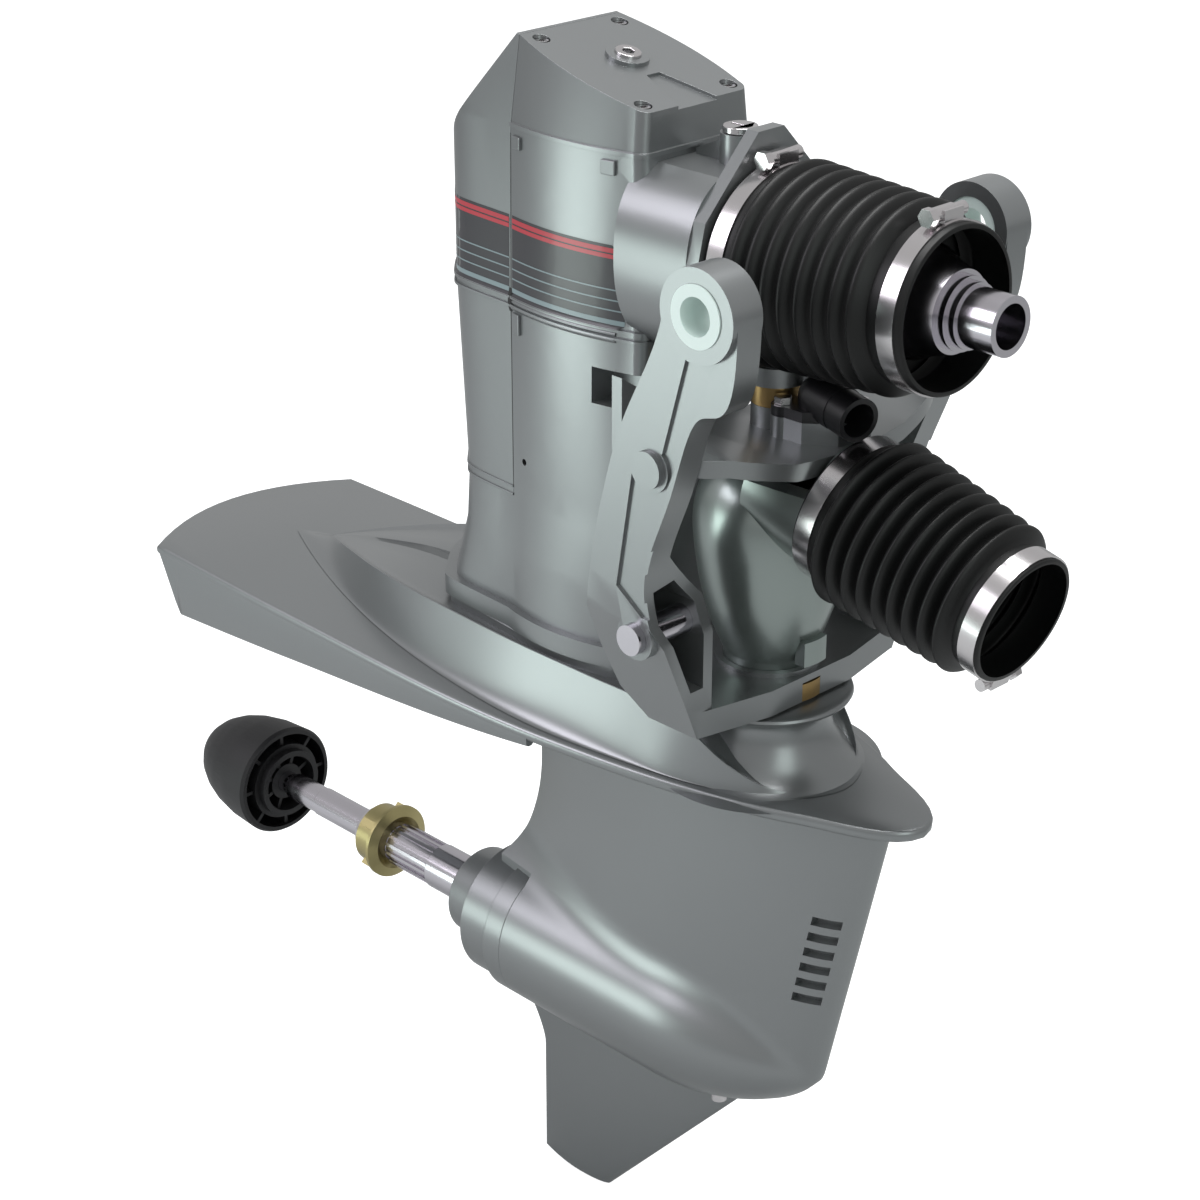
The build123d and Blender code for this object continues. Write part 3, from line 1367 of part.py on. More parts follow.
NODES["shift_lever"] = make_shift_lever()
NODES["gear_bearings"] = make_gear_bearings()
NODES["upper_vertical_shaft"] = make_upper_shaft()
NODES["shaft_sleeve"] = make_shaft_sleeve()
NODES["lower_vertical_shaft"] = make_lower_shaft()
NODES["pinion_bearing"] = make_pinion_bearing()
NODES["front_driven_gear"] = make_front_wheel()
NODES["rear_driven_gear"] = make_rear_wheel()
NODES["outer_propeller_shaft"] = make_outer_shaft()
NODES["inner_propeller_shaft"] = make_inner_shaft()
NODES["front_shaft_bearing"] = make_front_bearing()
NODES["rear_shaft_bearing"] = make_rear_bearing()
NODES["bearing_carrier"] = make_carrier()
NODES["shaft_seal"] = make_shaft_seal()
NODES["brass_collar"] = make_brass_collar()
NODES["lock_ring"] = make_lock_ring()
NODES["propeller_cone"] = make_cone()

for name, solid in NODES.items():
    export_step(solid, os.path.join("parts", name + ".step"))
    print(name, round(solid.volume), len(solid.solids()))
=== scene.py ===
"""Looks of a boat drive around its CAD frame. Sizes are millimetres, and MM turns them to metres."""
import json
import math

import bmesh
import bpy
from mathutils import Matrix, Vector
from mathutils.bvhtree import BVHTree
from mathutils.geometry import convex_hull_2d


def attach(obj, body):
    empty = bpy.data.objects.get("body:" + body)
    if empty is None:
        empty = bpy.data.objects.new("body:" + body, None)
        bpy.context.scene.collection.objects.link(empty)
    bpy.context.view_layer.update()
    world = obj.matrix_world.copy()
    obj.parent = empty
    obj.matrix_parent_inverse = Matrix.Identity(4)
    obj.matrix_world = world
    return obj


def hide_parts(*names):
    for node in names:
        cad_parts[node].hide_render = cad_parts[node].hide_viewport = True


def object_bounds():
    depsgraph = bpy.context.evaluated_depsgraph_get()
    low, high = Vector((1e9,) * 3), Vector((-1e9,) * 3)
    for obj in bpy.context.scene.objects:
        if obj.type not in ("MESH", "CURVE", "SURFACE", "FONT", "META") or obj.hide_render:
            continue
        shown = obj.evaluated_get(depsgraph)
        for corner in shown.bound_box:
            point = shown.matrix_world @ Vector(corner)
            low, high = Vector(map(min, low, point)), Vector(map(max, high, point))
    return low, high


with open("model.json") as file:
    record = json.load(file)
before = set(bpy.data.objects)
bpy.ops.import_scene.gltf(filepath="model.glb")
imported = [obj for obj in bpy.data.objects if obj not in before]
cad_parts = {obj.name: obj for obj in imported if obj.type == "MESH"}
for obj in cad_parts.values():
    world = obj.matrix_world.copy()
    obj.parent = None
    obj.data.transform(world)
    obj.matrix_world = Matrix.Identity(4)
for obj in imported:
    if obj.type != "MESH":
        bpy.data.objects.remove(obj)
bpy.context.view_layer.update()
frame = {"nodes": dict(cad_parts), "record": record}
MM = 0.001


# Colours and materials
def linear(hex_colour):
    """sRGB hex to the linear RGBA that the shader takes."""
    channels = [int(hex_colour[i:i + 2], 16) / 255 for i in (1, 3, 5)]
    return [c / 12.92 if c <= 0.04045 else ((c + 0.055) / 1.055) ** 2.4 for c in channels] + [1.0]


def add_node(owner, kind, settings=(), links=()):
    """Adds a node to a material or world, with its settings and (source, own input) links."""
    node = owner.node_tree.nodes.new(kind)
    for name, value in dict(settings).items():
        if isinstance(name, str) and hasattr(node, name):
            setattr(node, name, value)
        else:
            node.inputs[name].default_value = value
    for source, name in links:
        owner.node_tree.links.new(source, node.inputs[name])
    return node


def new_material(name, colour, metallic=0.0, roughness=0.5, **more):
    """Material with one Principled shader, whose even values sit on its own sockets."""
    material = bpy.data.materials.new(name)
    material.use_nodes = True
    shader = material.node_tree.nodes["Principled BSDF"]
    shader.inputs["Base Color"].default_value = linear(colour)
    shader.inputs["Metallic"].default_value = metallic
    shader.inputs["Roughness"].default_value = roughness
    for socket, value in more.items():
        shader.inputs[socket.replace("_", " ")].default_value = value
    material.diffuse_color = linear(colour)
    return material, shader


def grain(material, shader, size_mm, depth_mm, strength=0.5, stretch=(1, 1, 1)):
    """Fine bump whose bumps are size_mm apart, from object coordinates in metres."""
    place = add_node(material, "ShaderNodeTexCoord")
    scaled = add_node(material, "ShaderNodeMapping", {"Scale": stretch},
                      [(place.outputs["Object"], "Vector")])
    noise = add_node(material, "ShaderNodeTexNoise", {"Scale": 1 / (size_mm * MM), "Detail": 2.0},
                     [(scaled.outputs["Vector"], "Vector")])
    bump = add_node(material, "ShaderNodeBump", {"Strength": strength, "Distance": depth_mm * MM},
                    [(noise.outputs["Fac"], "Height")])
    material.node_tree.links.new(bump.outputs["Normal"], shader.inputs["Normal"])
    return noise


def silver_grey_enamel():
    """Sprayed enamel with fine aluminium flake over castings: soft broad shine, faint mottling."""
    material, shader = new_material("silver_grey_enamel", "#8a8d8e", metallic=0.8, roughness=0.32,
                                    Coat_Weight=0.2, Coat_Roughness=0.25)
    noise = grain(material, shader, size_mm=1.2, depth_mm=0.03, strength=0.35)
    ramp = add_node(material, "ShaderNodeMapRange", {"To Min": 0.29, "To Max": 0.36},
                    [(noise.outputs["Fac"], "Value")])
    material.node_tree.links.new(ramp.outputs["Result"], shader.inputs["Roughness"])
    return material


def cast_aluminium():
    """Bare pressure-cast aluminium of the exhaust elbow: brighter and greener than the enamel, smooth."""
    material, shader = new_material("cast_aluminium", "#959e9b", metallic=0.85, roughness=0.3)
    grain(material, shader, size_mm=2.5, depth_mm=0.05, strength=0.3)
    return material


def moulded_rubber():
    """Chloroprene rubber from a polished mould: black with a soft sheen on its folds."""
    material, shader = new_material("moulded_rubber", "#090a0a", roughness=0.45, Specular_IOR_Level=0.35)
    grain(material, shader, size_mm=0.8, depth_mm=0.02, strength=0.25)
    return material


def glass_filled_nylon():
    """Injection-moulded nylon of the water elbow: black, satin, slightly warm."""
    return new_material("glass_filled_nylon", "#18181a", roughness=0.34)[0]


def moulded_polypropylene():
    """Matt moulded plastic of the propeller cone: charcoal, fine spark-eroded grain."""
    material, shader = new_material("moulded_polypropylene", "#161618", roughness=0.5)
    grain(material, shader, size_mm=0.6, depth_mm=0.03, strength=0.4)
    return material


def ground_stainless():
    """Centreless-ground stainless steel shaft: near mirror with fine turned lines round it."""
    material, shader = new_material("ground_stainless", "#c9c6cc", metallic=1.0, roughness=0.16)
    grain(material, shader, size_mm=0.5, depth_mm=0.01, strength=0.25, stretch=(1, 0.05, 0.05))
    return material


def rolled_stainless_strip():
    """Bright rolled stainless strip and zinc-plated screws of the hose clamps."""
    return new_material("rolled_stainless_strip", "#d2cfd0", metallic=1.0, roughness=0.2)[0]


def hardened_gear_steel():
    """Case-hardened and blasted steel of gears, yokes and bearings: dark, semi-matt."""
    return new_material("hardened_gear_steel", "#55565a", metallic=1.0, roughness=0.38)[0]


def turned_brass():
    """Turned manganese brass of the thrust collar, dulled by handling."""
    material, shader = new_material("turned_brass", "#b3a879", metallic=0.95, roughness=0.3)
    grain(material, shader, size_mm=0.6, depth_mm=0.01, strength=0.3, stretch=(1, 0.05, 0.05))
    return material


def bearing_bronze():
    """Sintered bronze of bushes and the clutch cone."""
    return new_material("bearing_bronze", "#a58a5c", metallic=0.9, roughness=0.36)[0]


def acetal_bush():
    """Pale moulded acetal lining of the tilt bosses."""
    return new_material("acetal_bush", "#d6e6e1", roughness=0.3)[0]


def nitrile_seal():
    """Black nitrile lip seal."""
    return new_material("nitrile_seal", "#151515", roughness=0.55)[0]


FINISH = {
    "paint_grey": silver_grey_enamel(),
    "bare_casting": cast_aluminium(),
    "bellows_rubber": moulded_rubber(),
    "elbow_plastic": glass_filled_nylon(),
    "cone_plastic": moulded_polypropylene(),
    "shaft_steel": ground_stainless(),
    "clamp_steel": rolled_stainless_strip(),
    "gear_steel": hardened_gear_steel(),
    "collar_brass": turned_brass(),
    "bush_bronze": bearing_bronze(),
    "tilt_bush_plastic": acetal_bush(),
    "seal_rubber": nitrile_seal(),
}
NODE_SLOT = {p["node"]: p["material_slot"] for p in frame["record"]["subparts"]}
NODE_BODY = {n: b for b, nodes in frame["record"]["behaviour"]["bodies"].items() for n in nodes}


def finish_object(piece, node):
    """Gives a new piece the body, slot and finish of the CAD node that it stands for."""
    slot = NODE_SLOT[node]
    piece.data.materials.clear()
    piece.data.materials.append(FINISH[slot])
    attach(piece, NODE_BODY[node])


def add_mesh(name, points, faces, smooth=True):
    mesh = bpy.data.meshes.new(name)
    mesh.from_pydata([tuple(p) for p in points], [], faces)
    mesh.validate()
    if smooth:
        mesh.shade_smooth()
    piece = bpy.data.objects.new(name, mesh)
    bpy.context.scene.collection.objects.link(piece)
    return piece


# Forms shared by the castings
def flow(points, start_way, end_way, count):
    """Smooth line through plan points, with given directions at its ends."""
    steps = [math.dist(p, q) for p, q in zip(points, points[1:])]
    ways = [Vector(start_way).normalized()]
    for i in range(1, len(points) - 1):
        back = (Vector(points[i]) - Vector(points[i - 1])) / steps[i - 1]
        on = (Vector(points[i + 1]) - Vector(points[i])) / steps[i]
        share = steps[i - 1] / (steps[i - 1] + steps[i])
        ways.append(back * (1 - share) + on * share)
    ways.append(Vector(end_way).normalized())
    total = sum(steps)
    line = []
    for k in range(count):
        at = total * k / (count - 1)
        i = 0
        while i < len(steps) - 1 and at > steps[i]:
            at -= steps[i]
            i += 1
        u = min(1.0, at / steps[i])
        p, q = Vector(points[i]), Vector(points[i + 1])
        line.append((2 * u ** 3 - 3 * u ** 2 + 1) * p + (u ** 3 - 2 * u ** 2 + u) * steps[i] * ways[i]
                    + (3 * u ** 2 - 2 * u ** 3) * q + (u ** 3 - u ** 2) * steps[i] * ways[i + 1])
    return line


def skin(rings, closed=True, caps=(True, True)):
    """Points and faces of a surface through rings of equal length, in millimetres."""
    count = len(rings[0])
    points = [Vector(p) * MM for ring in rings for p in ring]
    faces = []
    for row in range(len(rings) - 1):
        for i in range(count if closed else count - 1):
            j = (i + 1) % count
            low, high = row * count, (row + 1) * count
            faces.append((low + i, low + j, high + j, high + i))
    if caps[0]:
        faces.append(tuple(reversed(range(count))))
    if caps[1]:
        faces.append(tuple(range(len(points) - count, len(points))))
    return points, faces


def crease(piece, angle):
    """Recalculates the outside and keeps edges over the angle sharp."""
    work = bmesh.new()
    work.from_mesh(piece.data)
    bmesh.ops.remove_doubles(work, verts=work.verts, dist=0.002 * MM)
    bmesh.ops.recalc_face_normals(work, faces=work.faces)
    work.to_mesh(piece.data)
    work.free()
    piece.data.shade_smooth()
    piece.data.set_sharp_from_angle(angle=math.radians(angle))


def turned(name, profile, steps=96, place=None, angle=32.0):
    """Lathe form along X from (x, radius) in millimetres."""
    rings = []
    for x, r in profile:
        turns = [2 * math.pi * i / steps for i in range(steps)]
        rings.append([(x, r * math.cos(t), r * math.sin(t)) for t in turns])
    points, faces = skin(rings, caps=(profile[0][1] > 0, profile[-1][1] > 0))
    piece = add_mesh(name, points, faces)
    if place is not None:
        piece.data.transform(place)
    crease(piece, angle)
    return piece


# CAD nodes with their edges broken
def rounded(node, width_mm, angle=28.0):
    """Copy of a CAD node with its sharp edges rounded, which stands for the node."""
    mesh = frame["nodes"][node].data.copy()
    work = bmesh.new()
    work.from_mesh(mesh)
    bmesh.ops.remove_doubles(work, verts=work.verts, dist=0.004 * MM)
    bmesh.ops.dissolve_limit(work, angle_limit=math.radians(0.4), verts=work.verts, edges=work.edges)
    work.to_mesh(mesh)
    work.free()
    if "custom_normal" in mesh.attributes:
        mesh.attributes.remove(mesh.attributes["custom_normal"])
    piece = bpy.data.objects.new(node + "_shown", mesh)
    piece.matrix_world = frame["nodes"][node].matrix_world
    bpy.context.scene.collection.objects.link(piece)
    mesh.shade_smooth()
    bevel = piece.modifiers.new("edges", "BEVEL")
    bevel.width = width_mm * MM
    bevel.segments = 2
    bevel.limit_method = "ANGLE"
    bevel.angle_limit = math.radians(angle)
    bevel.harden_normals = True
    finish_object(piece, node)
    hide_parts(node)


# Finishes of the CAD nodes that show as they are
for node, thing in frame["nodes"].items():
    thing.data.materials.clear()
    thing.data.materials.append(FINISH[NODE_SLOT[node]])


# Lower gear housing: strut, torpedo and skeg as one smooth skin
PROP_Z, PLATE_Z = -600.0, -362.0
STRUT_LE, STRUT_TE, TE_REACH, TE_FILLET, TE_POWER = 118.0, -226.0, 32.0, 95.0, 2
TORPEDO_R, TORPEDO_MID, TORPEDO_NOSE, TORPEDO_TAIL, NOSE_POWER = 59.0, -70.0, 64.0, -218.0, 0.7
SKEG_ROOT, SKEG_RAKE, SKEG_FOOT = 38.0, 0.905, -811.9
SKEG_TE, SKEG_REACH, SKEG_FILLET, SKEG_TE_POWER = -228.0, 30.0, 52.0, 1.5
STRUT_HALF, SKEG_HALF, WIDEST, TAIL_THINNING, TAIL_POWER = 37.0, 6.5, 0.45, 0.9, 1.7
FILLET_OVER, FILLET_UNDER, ROOT_DEPTH = 45.0, 14.0, 9.0

# Six cooling-water slots a side: heights, half width, reach behind the leading edge, depth
SLOT_TOP, SLOT_PITCH, SLOT_COUNT = -459, 13.8, 6
SLOT_MIDS = [SLOT_TOP - SLOT_PITCH * i for i in range(SLOT_COUNT)]
SLOT_HALF, SLOT_NEAR, SLOT_FAR, SLOT_DEPTH = 3.7, 9.0, 29.0, 7.0


def torpedo_radius(x):
    """Radius of the torpedo: a blunt nose before TORPEDO_MID, and even behind it."""
    t = max(0.0, (x - TORPEDO_MID) / (TORPEDO_NOSE - TORPEDO_MID))
    return TORPEDO_R * max(0.0, 1 - t * t) ** NOSE_POWER


def leading_edge(z):
    """Front edge of strut, torpedo nose and skeg at a height."""
    drop = (PLATE_Z - z) / (PLATE_Z - PROP_Z)
    below = (PROP_Z - z) / TORPEDO_R
    if below < 0:
        return STRUT_LE - (STRUT_LE - TORPEDO_NOSE) * min(1.0, drop)
    skeg = SKEG_ROOT + (z - PROP_Z) * SKEG_RAKE
    if below >= 1:
        return skeg
    nose = TORPEDO_MID + (TORPEDO_NOSE - TORPEDO_MID) * math.sqrt(1 - below ** (1 / NOSE_POWER))
    return max(skeg, nose)


def trailing_edge(z):
    """Rear edge of strut and skeg, which sweeps back to the torpedo's tail."""
    off = max(0.0, abs(z - PROP_Z) - TORPEDO_R)
    if z < PROP_Z:
        return SKEG_TE - SKEG_REACH * max(0.0, 1 - off / SKEG_FILLET) ** SKEG_TE_POWER
    return STRUT_TE - TE_REACH * max(0.0, 1 - off / TE_FILLET) ** TE_POWER


def strut_half(x, z):
    """Half width of strut or skeg, with a round fillet where it meets the torpedo."""
    le = leading_edge(z)
    t = (le - x) / (le - trailing_edge(z))
    below = min(1.0, max(0.0, (PROP_Z - z) / TORPEDO_R))
    nose = math.sqrt(max(0.0, 1 - (1 - t / WIDEST) ** 2)) if t < WIDEST else 1.0
    tail = 1 - TAIL_THINNING * max(0.0, (t - WIDEST) / (1 - WIDEST)) ** TAIL_POWER
    wall = (STRUT_HALF + (SKEG_HALF - STRUT_HALF) * below) * nose * tail
    r, off = torpedo_radius(x), abs(z - PROP_Z)
    if wall >= r:
        return wall
    fillet = FILLET_OVER if z > PROP_Z else FILLET_UNDER
    centre_y = wall + fillet
    centre_off = math.sqrt((r + fillet) ** 2 - centre_y ** 2)
    if off <= centre_off * r / (r + fillet):
        return math.sqrt(r * r - off * off)
    if off < centre_off:
        return centre_y - math.sqrt(fillet ** 2 - (centre_off - off) ** 2)
    return wall


# Rows of the skin in height, and its columns as distances behind the leading edge
STRUT_TOP, STRUT_STEP, STRUT_ROWS, ROOT_ROWS = -371, 4.6, 18, [-535, -538]
TORPEDO_TURN, TORPEDO_INSET = 4, 0.2
KEEL_STEPS, SKEG_START, SKEG_STEP = (0, 1, 2.5, 4.5, 7, 10, 14), 18, 4.5
NEAR_COLUMNS = [0.0, 0.4, 1.2, 2.5, 4.2, 6.5, SLOT_NEAR, 14.0, 20.0, SLOT_FAR, 34.0]
AFT_COLUMNS = 44


def housing_heights():
    """Row heights from the plate to the skeg's foot, close together where the form turns."""
    rows = [STRUT_TOP - STRUT_STEP * i for i in range(STRUT_ROWS)]
    for mid in SLOT_MIDS:
        rows += [mid + SLOT_HALF, mid, mid - SLOT_HALF]
    rows += ROOT_ROWS + [PROP_Z + TORPEDO_R]
    for turn in range(90, -91, -TORPEDO_TURN):
        rows.append(PROP_Z + (TORPEDO_R - TORPEDO_INSET) * math.sin(math.radians(turn)))
    keel = PROP_Z - TORPEDO_R
    rows += [keel - step for step in KEEL_STEPS]
    low = keel - SKEG_START
    rows += [low - SKEG_STEP * i for i in range(int((low - SKEG_FOOT) / SKEG_STEP))]
    return rows + [SKEG_FOOT]


def cut_slots(piece, heights, count, columns):
    """Pushes the skin in at the six cooling-water slots of each side."""
    work = bmesh.new()
    work.from_mesh(piece.data)
    work.faces.ensure_lookup_table()
    pockets = []
    for side in columns:
        for mid in SLOT_MIDS:
            row = heights.index(mid + SLOT_HALF)
            pockets.append([work.faces[r * count + c] for r in (row, row + 1) for c in side])
    for chosen in pockets:
        grown = bmesh.ops.extrude_face_region(work, geom=chosen)
        inner = [v for v in grown["geom"] if isinstance(v, bmesh.types.BMVert)]
        way = SLOT_DEPTH * MM if inner[0].co.y < 0 else -SLOT_DEPTH * MM
        for v in inner:
            v.co.y += way
        bmesh.ops.delete(work, geom=[f for f in chosen if f.is_valid], context="FACES_ONLY")
    work.to_mesh(piece.data)
    work.free()


def lower_housing():
    """Smooth skin on the casting's own formula, with its louvre slots."""
    heights = housing_heights()
    shares = [(i + 1) / AFT_COLUMNS for i in range(AFT_COLUMNS)]
    rings = []
    for z in heights:
        le = leading_edge(z)
        xs = [le - d for d in NEAR_COLUMNS]
        xs += [xs[-1] - (xs[-1] - trailing_edge(z)) * k for k in shares]
        if abs(z - PROP_Z) < TORPEDO_R:
            xs = [max(x, TORPEDO_TAIL) for x in xs]
        side = [(x, -strut_half(x, z), z) for x in xs]
        rings.append(side[::-1] + [(x, -y, h) for x, y, h in side[1:]])
    piece = add_mesh("lower_housing_skin", *skin(rings))
    count = len(rings[0])
    half = count // 2
    first, last = NEAR_COLUMNS.index(SLOT_NEAR), NEAR_COLUMNS.index(SLOT_FAR)
    columns = (range(half - last, half - first), range(half + first, half + last))
    cut_slots(piece, heights, count, columns)
    crease(piece, 40)
    finish_object(piece, "lower_gear_housing")
    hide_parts("lower_gear_housing")


def strut_root():
    """Foot of the strut's trailing edge, which reaches down onto the bearing carrier."""
    foot_z = PROP_Z + TORPEDO_R
    xs = [*range(-214, -257, -6), STRUT_TE - TE_REACH]
    side = [(x, strut_half(x, foot_z)) for x in xs]
    rings = []
    for z in (foot_z, foot_z - ROOT_DEPTH):
        rings.append([(x, -y, z) for x, y in side] + [(x, y, z) for x, y in reversed(side)])
    piece = add_mesh("strut_root", *skin(rings))
    crease(piece, 40)
    finish_object(piece, "lower_gear_housing")


lower_housing()
strut_root()


# Intermediate housing: leaf plate, deck with its crest, neck and skirts
PLATE_NOSE, PLATE_AFT, AFT_HALF, RISE = 145.0, -577.0, 102.5, 12.0
TILT = math.atan2(RISE, PLATE_NOSE - PLATE_AFT)

# Plate's rim: bow of its rear, directions at the ends of a side, and (drop, inset) over its round edge
RIM_BOW = 36.0
RIM_WAYS = ((1, -0.03), (0.1, 1))
RIM_STEPS = ((9, 3), (8.4, 1.5), (7.2, 0.5), (5.5, 0), (3, 0), (1.6, 0.5), (0.5, 1.5), (0, 3))


def rim_side(inset):
    """Plan points of the plate's starboard rim, from its rear corner to its nose."""
    half = AFT_HALF - inset
    return [(PLATE_AFT + inset, -half), (-400, -half - 4), (-119, -half + 3.5),
            (-3, -77 + inset), (72, -51 + inset), (PLATE_NOSE - inset, 0)]


# Starboard half of the deck: its foot in plan, its crest line in space, and the channel inside it
DECK_FOOT = [(-520, -2), (-247, -88), (-134, -94), (-60, -84), (0, -70), (40, -52), (66, -26), (74, 0)]
DECK_CREST = [(-477, -1.5, -342), (-413, -34, -324), (-349, -60, -312), (-300, -70, -309),
              (-236, -75, -308.5), (-170, -77, -309), (-100, -74, -311), (-50, -71, -313),
              (-12, -69, -320), (20, -61, -340), (44, -46, -354), (60, -24, -359), (66, 0, -360)]
SIDE_STEPS, CHANNEL_HALF = 72, 70.0
FLANK_ROWS, FLANK_HOLLOW = 16, 1.9
CHANNEL_STEPS = ((0.988, -0.3), (0.97, 0.3), (0.93, 2.6), (0.88, 4.0), (0.8, 4.5), (0.4, 4.5), (0.1, 4.5))


def deck_rings():
    """Rings up the deck's hollow flank to its crest, then down into the channel inside it."""
    foot = [tilted((x, y, PLATE_Z + 0.5)) for x, y in flow(DECK_FOOT, (0.9, -0.45), (0, 1), SIDE_STEPS)]
    crest = [tuple(p) for p in flow(DECK_CREST, (0.85, -0.42, 0.3), (0, 1, 0), SIDE_STEPS)]
    rings = []
    for i in range(FLANK_ROWS + 1):
        k = i / FLANK_ROWS
        rise = k ** FLANK_HOLLOW
        rings.append([(a[0] + (b[0] - a[0]) * k, a[1] + (b[1] - a[1]) * k, a[2] + (b[2] - a[2]) * rise)
                      for a, b in zip(foot, crest)])
    for share, drop in CHANNEL_STEPS:
        rings.append([(x, y * share, z - drop * min(1.0, -y / CHANNEL_HALF)) for x, y, z in crest])
    return [side + [(x, -y, z) for x, y, z in reversed(side[:-1])] for side in rings]


def leaf_ring(side, z, bow, ways, count=72, arc=14):
    """Closed plan outline at height z: starboard side, port side and the bowed rear."""
    starboard = [tuple(p) for p in flow(side, ways[0], ways[1], count)]
    aft_x, aft_y = side[0]
    ring = [(x, y, z) for x, y in starboard] + [(x, -y, z) for x, y in reversed(starboard[:-1])]
    for i in range(1, arc):
        y = -aft_y + 2 * aft_y * i / arc
        ring.append((aft_x - bow * (1 - (y / aft_y) ** 2), y, z))
    return ring


def tilted(point):
    """Turns a point about the plate's nose by the plate's tilt."""
    x, y, z = point
    dx, dz = x - PLATE_NOSE, z - PLATE_Z
    cos, sin = math.cos(TILT), math.sin(TILT)
    return (PLATE_NOSE + dx * cos + dz * sin, y, PLATE_Z - dx * sin + dz * cos)


def leaf_plate():
    """Plate with a rounded rim and a bowed rear edge."""
    rings = []
    for drop, inset in RIM_STEPS:
        rings.append(leaf_ring(rim_side(inset), PLATE_Z - drop, RIM_BOW, RIM_WAYS))
    piece = add_mesh("leaf_plate", *skin([[tilted(p) for p in ring] for ring in rings]))
    crease(piece, 38)
    finish_object(piece, "intermediate_housing")
    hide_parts("intermediate_housing")


def deck():
    """Deck that sweeps up from the plate to a sharp crest."""
    piece = add_mesh("deck", *skin(deck_rings()))
    crease(piece, 30)
    finish_object(piece, "intermediate_housing")


# Steering neck: flared foot, round table and hollow spigot, as (height, radius)
NECK_FLARE = [(-364, 82), (-362.6, 75), (-359.5, 67), (-354, 59.5), (-346, 53), (-335, 47), (-323, 44.3)]
NECK_TABLE = [(-316, 45.5), (-312, 49), (-311, 52), (-311, 57), (-309.5, 59), (-307.5, 60),
              (-305.8, 59.4), (-305, 58)]
NECK_SPIGOT = [(-305, 37.4), (-290.6, 37), (-290, 36.4), (-290, 27.6), (-290.6, 27), (-345, 27)]


def steering_neck():
    """Turned neck that carries the fork and the leg, with its axis upright."""
    upright = Matrix.Rotation(-math.pi / 2, 4, "Y")
    piece = turned("steering_neck", NECK_FLARE + NECK_TABLE + NECK_SPIGOT, place=upright)
    finish_object(piece, "intermediate_housing")


# Skirts: side walls that hang from the plate, deepest near the rear and shallower forward
SKIRT_REAR_Z, SKIRT_DEEP_Z, SKIRT_FRONT_Z = -354.0, -405.0, -371.0
SKIRT_DEEP_X, SKIRT_FRONT_X = -551.0, -135.0
SKIRT_WALL, SKIRT_INSET, SKIRT_UNDER_TOP, SKIRT_LEAST = 7.0, 0.3, 4.5, 0.5


def skirt_foot(x):
    """Height of the skirt's lower edge: steep at the rear, then a long rise forward."""
    if x < SKIRT_DEEP_X:
        share = (x - PLATE_AFT) / (SKIRT_DEEP_X - PLATE_AFT)
        return SKIRT_REAR_Z + (SKIRT_DEEP_Z - SKIRT_REAR_Z) * share
    share = (x - SKIRT_DEEP_X) / (SKIRT_FRONT_X - SKIRT_DEEP_X)
    return SKIRT_DEEP_Z + (SKIRT_FRONT_Z - SKIRT_DEEP_Z) * share


def skirt(side):
    """One skirt along the plate's rim, with rounded lower corners; side 1 is starboard."""
    rings = []
    for x, y in [p for p in flow(rim_side(SKIRT_INSET), *RIM_WAYS, 140) if p[0] < SKIRT_FRONT_X]:
        top = PLATE_Z - SKIRT_UNDER_TOP + (PLATE_NOSE - x) * math.tan(TILT)
        low = min(skirt_foot(x), top - SKIRT_LEAST)
        inner = y + SKIRT_WALL
        outline = [(y, top), (y, low + 2.5), (y + 0.8, low + 0.8), (y + 2.5, low),
                   (inner - 1.5, low), (inner, low + 1.5), (inner, top)]
        rings.append([(x, side * across, z) for across, z in outline])
    piece = add_mesh("skirt", *skin(rings))
    crease(piece, 38)
    finish_object(piece, "intermediate_housing")


# Machined seat of the deck under the leg
LEG_BASE_Z, SEAT_FOOT_Z = -306.0, -320.0
SEAT_STEPS = ((SEAT_FOOT_Z, 0.96), (LEG_BASE_Z - 1.5, 0.96), (LEG_BASE_Z - 0.5, 0.95))


def leg_seat():
    """Seat drawn round the leg's own base, a little inside it."""
    thing = frame["nodes"]["upper_gear_housing"]
    corners = [(thing.matrix_world @ v.co) / MM for v in thing.data.vertices]
    base = [Vector((p.x, p.y)) for p in corners if p.z < LEG_BASE_Z + 0.5]
    hull = [base[i] for i in convex_hull_2d(base)]
    middle = sum(hull, Vector((0, 0))) / len(hull)
    rings = []
    for z, share in SEAT_STEPS:
        rings.append([(*(middle + (q - middle) * share), z) for q in hull])
    piece = add_mesh("leg_seat", *skin(rings))
    crease(piece, 30)
    finish_object(piece, "intermediate_housing")


leaf_plate()
deck()
steering_neck()
for side in (1, -1):
    skirt(side)
leg_seat()


# Bellows: moulded rubber with round folds
FOLD_POINTS, FOLD_ROUNDNESS = 12, 0.6


def folded_profile(length, lip_len, lip_r, start_r, end_r, depth, folds, mouth_r, mouth_len, wall):
    """Outer skin of round folds between a lip and a mouth, then the inner skin back."""
    first, last = lip_len + 2, length - mouth_len - 2
    pitch = (last - first) / folds
    outer = [(0, lip_r - 0.6), (0.6, lip_r), (lip_len, lip_r)]
    for i in range(folds):
        crest = start_r + (end_r - start_r) * (i + 0.5) / folds
        for j in range(FOLD_POINTS):
            u = (j + 0.5) / FOLD_POINTS
            bulge = (0.5 - 0.5 * math.cos(2 * math.pi * u)) ** FOLD_ROUNDNESS
            outer.append((first + (i + u) * pitch, crest - depth + depth * bulge))
    outer += [(last + 1, mouth_r - 0.4), (length - mouth_len + 1, mouth_r),
              (length - 0.6, mouth_r), (length, mouth_r - 0.6)]
    inner = [(x, r - wall) for x, r in reversed(outer)]
    return outer + inner


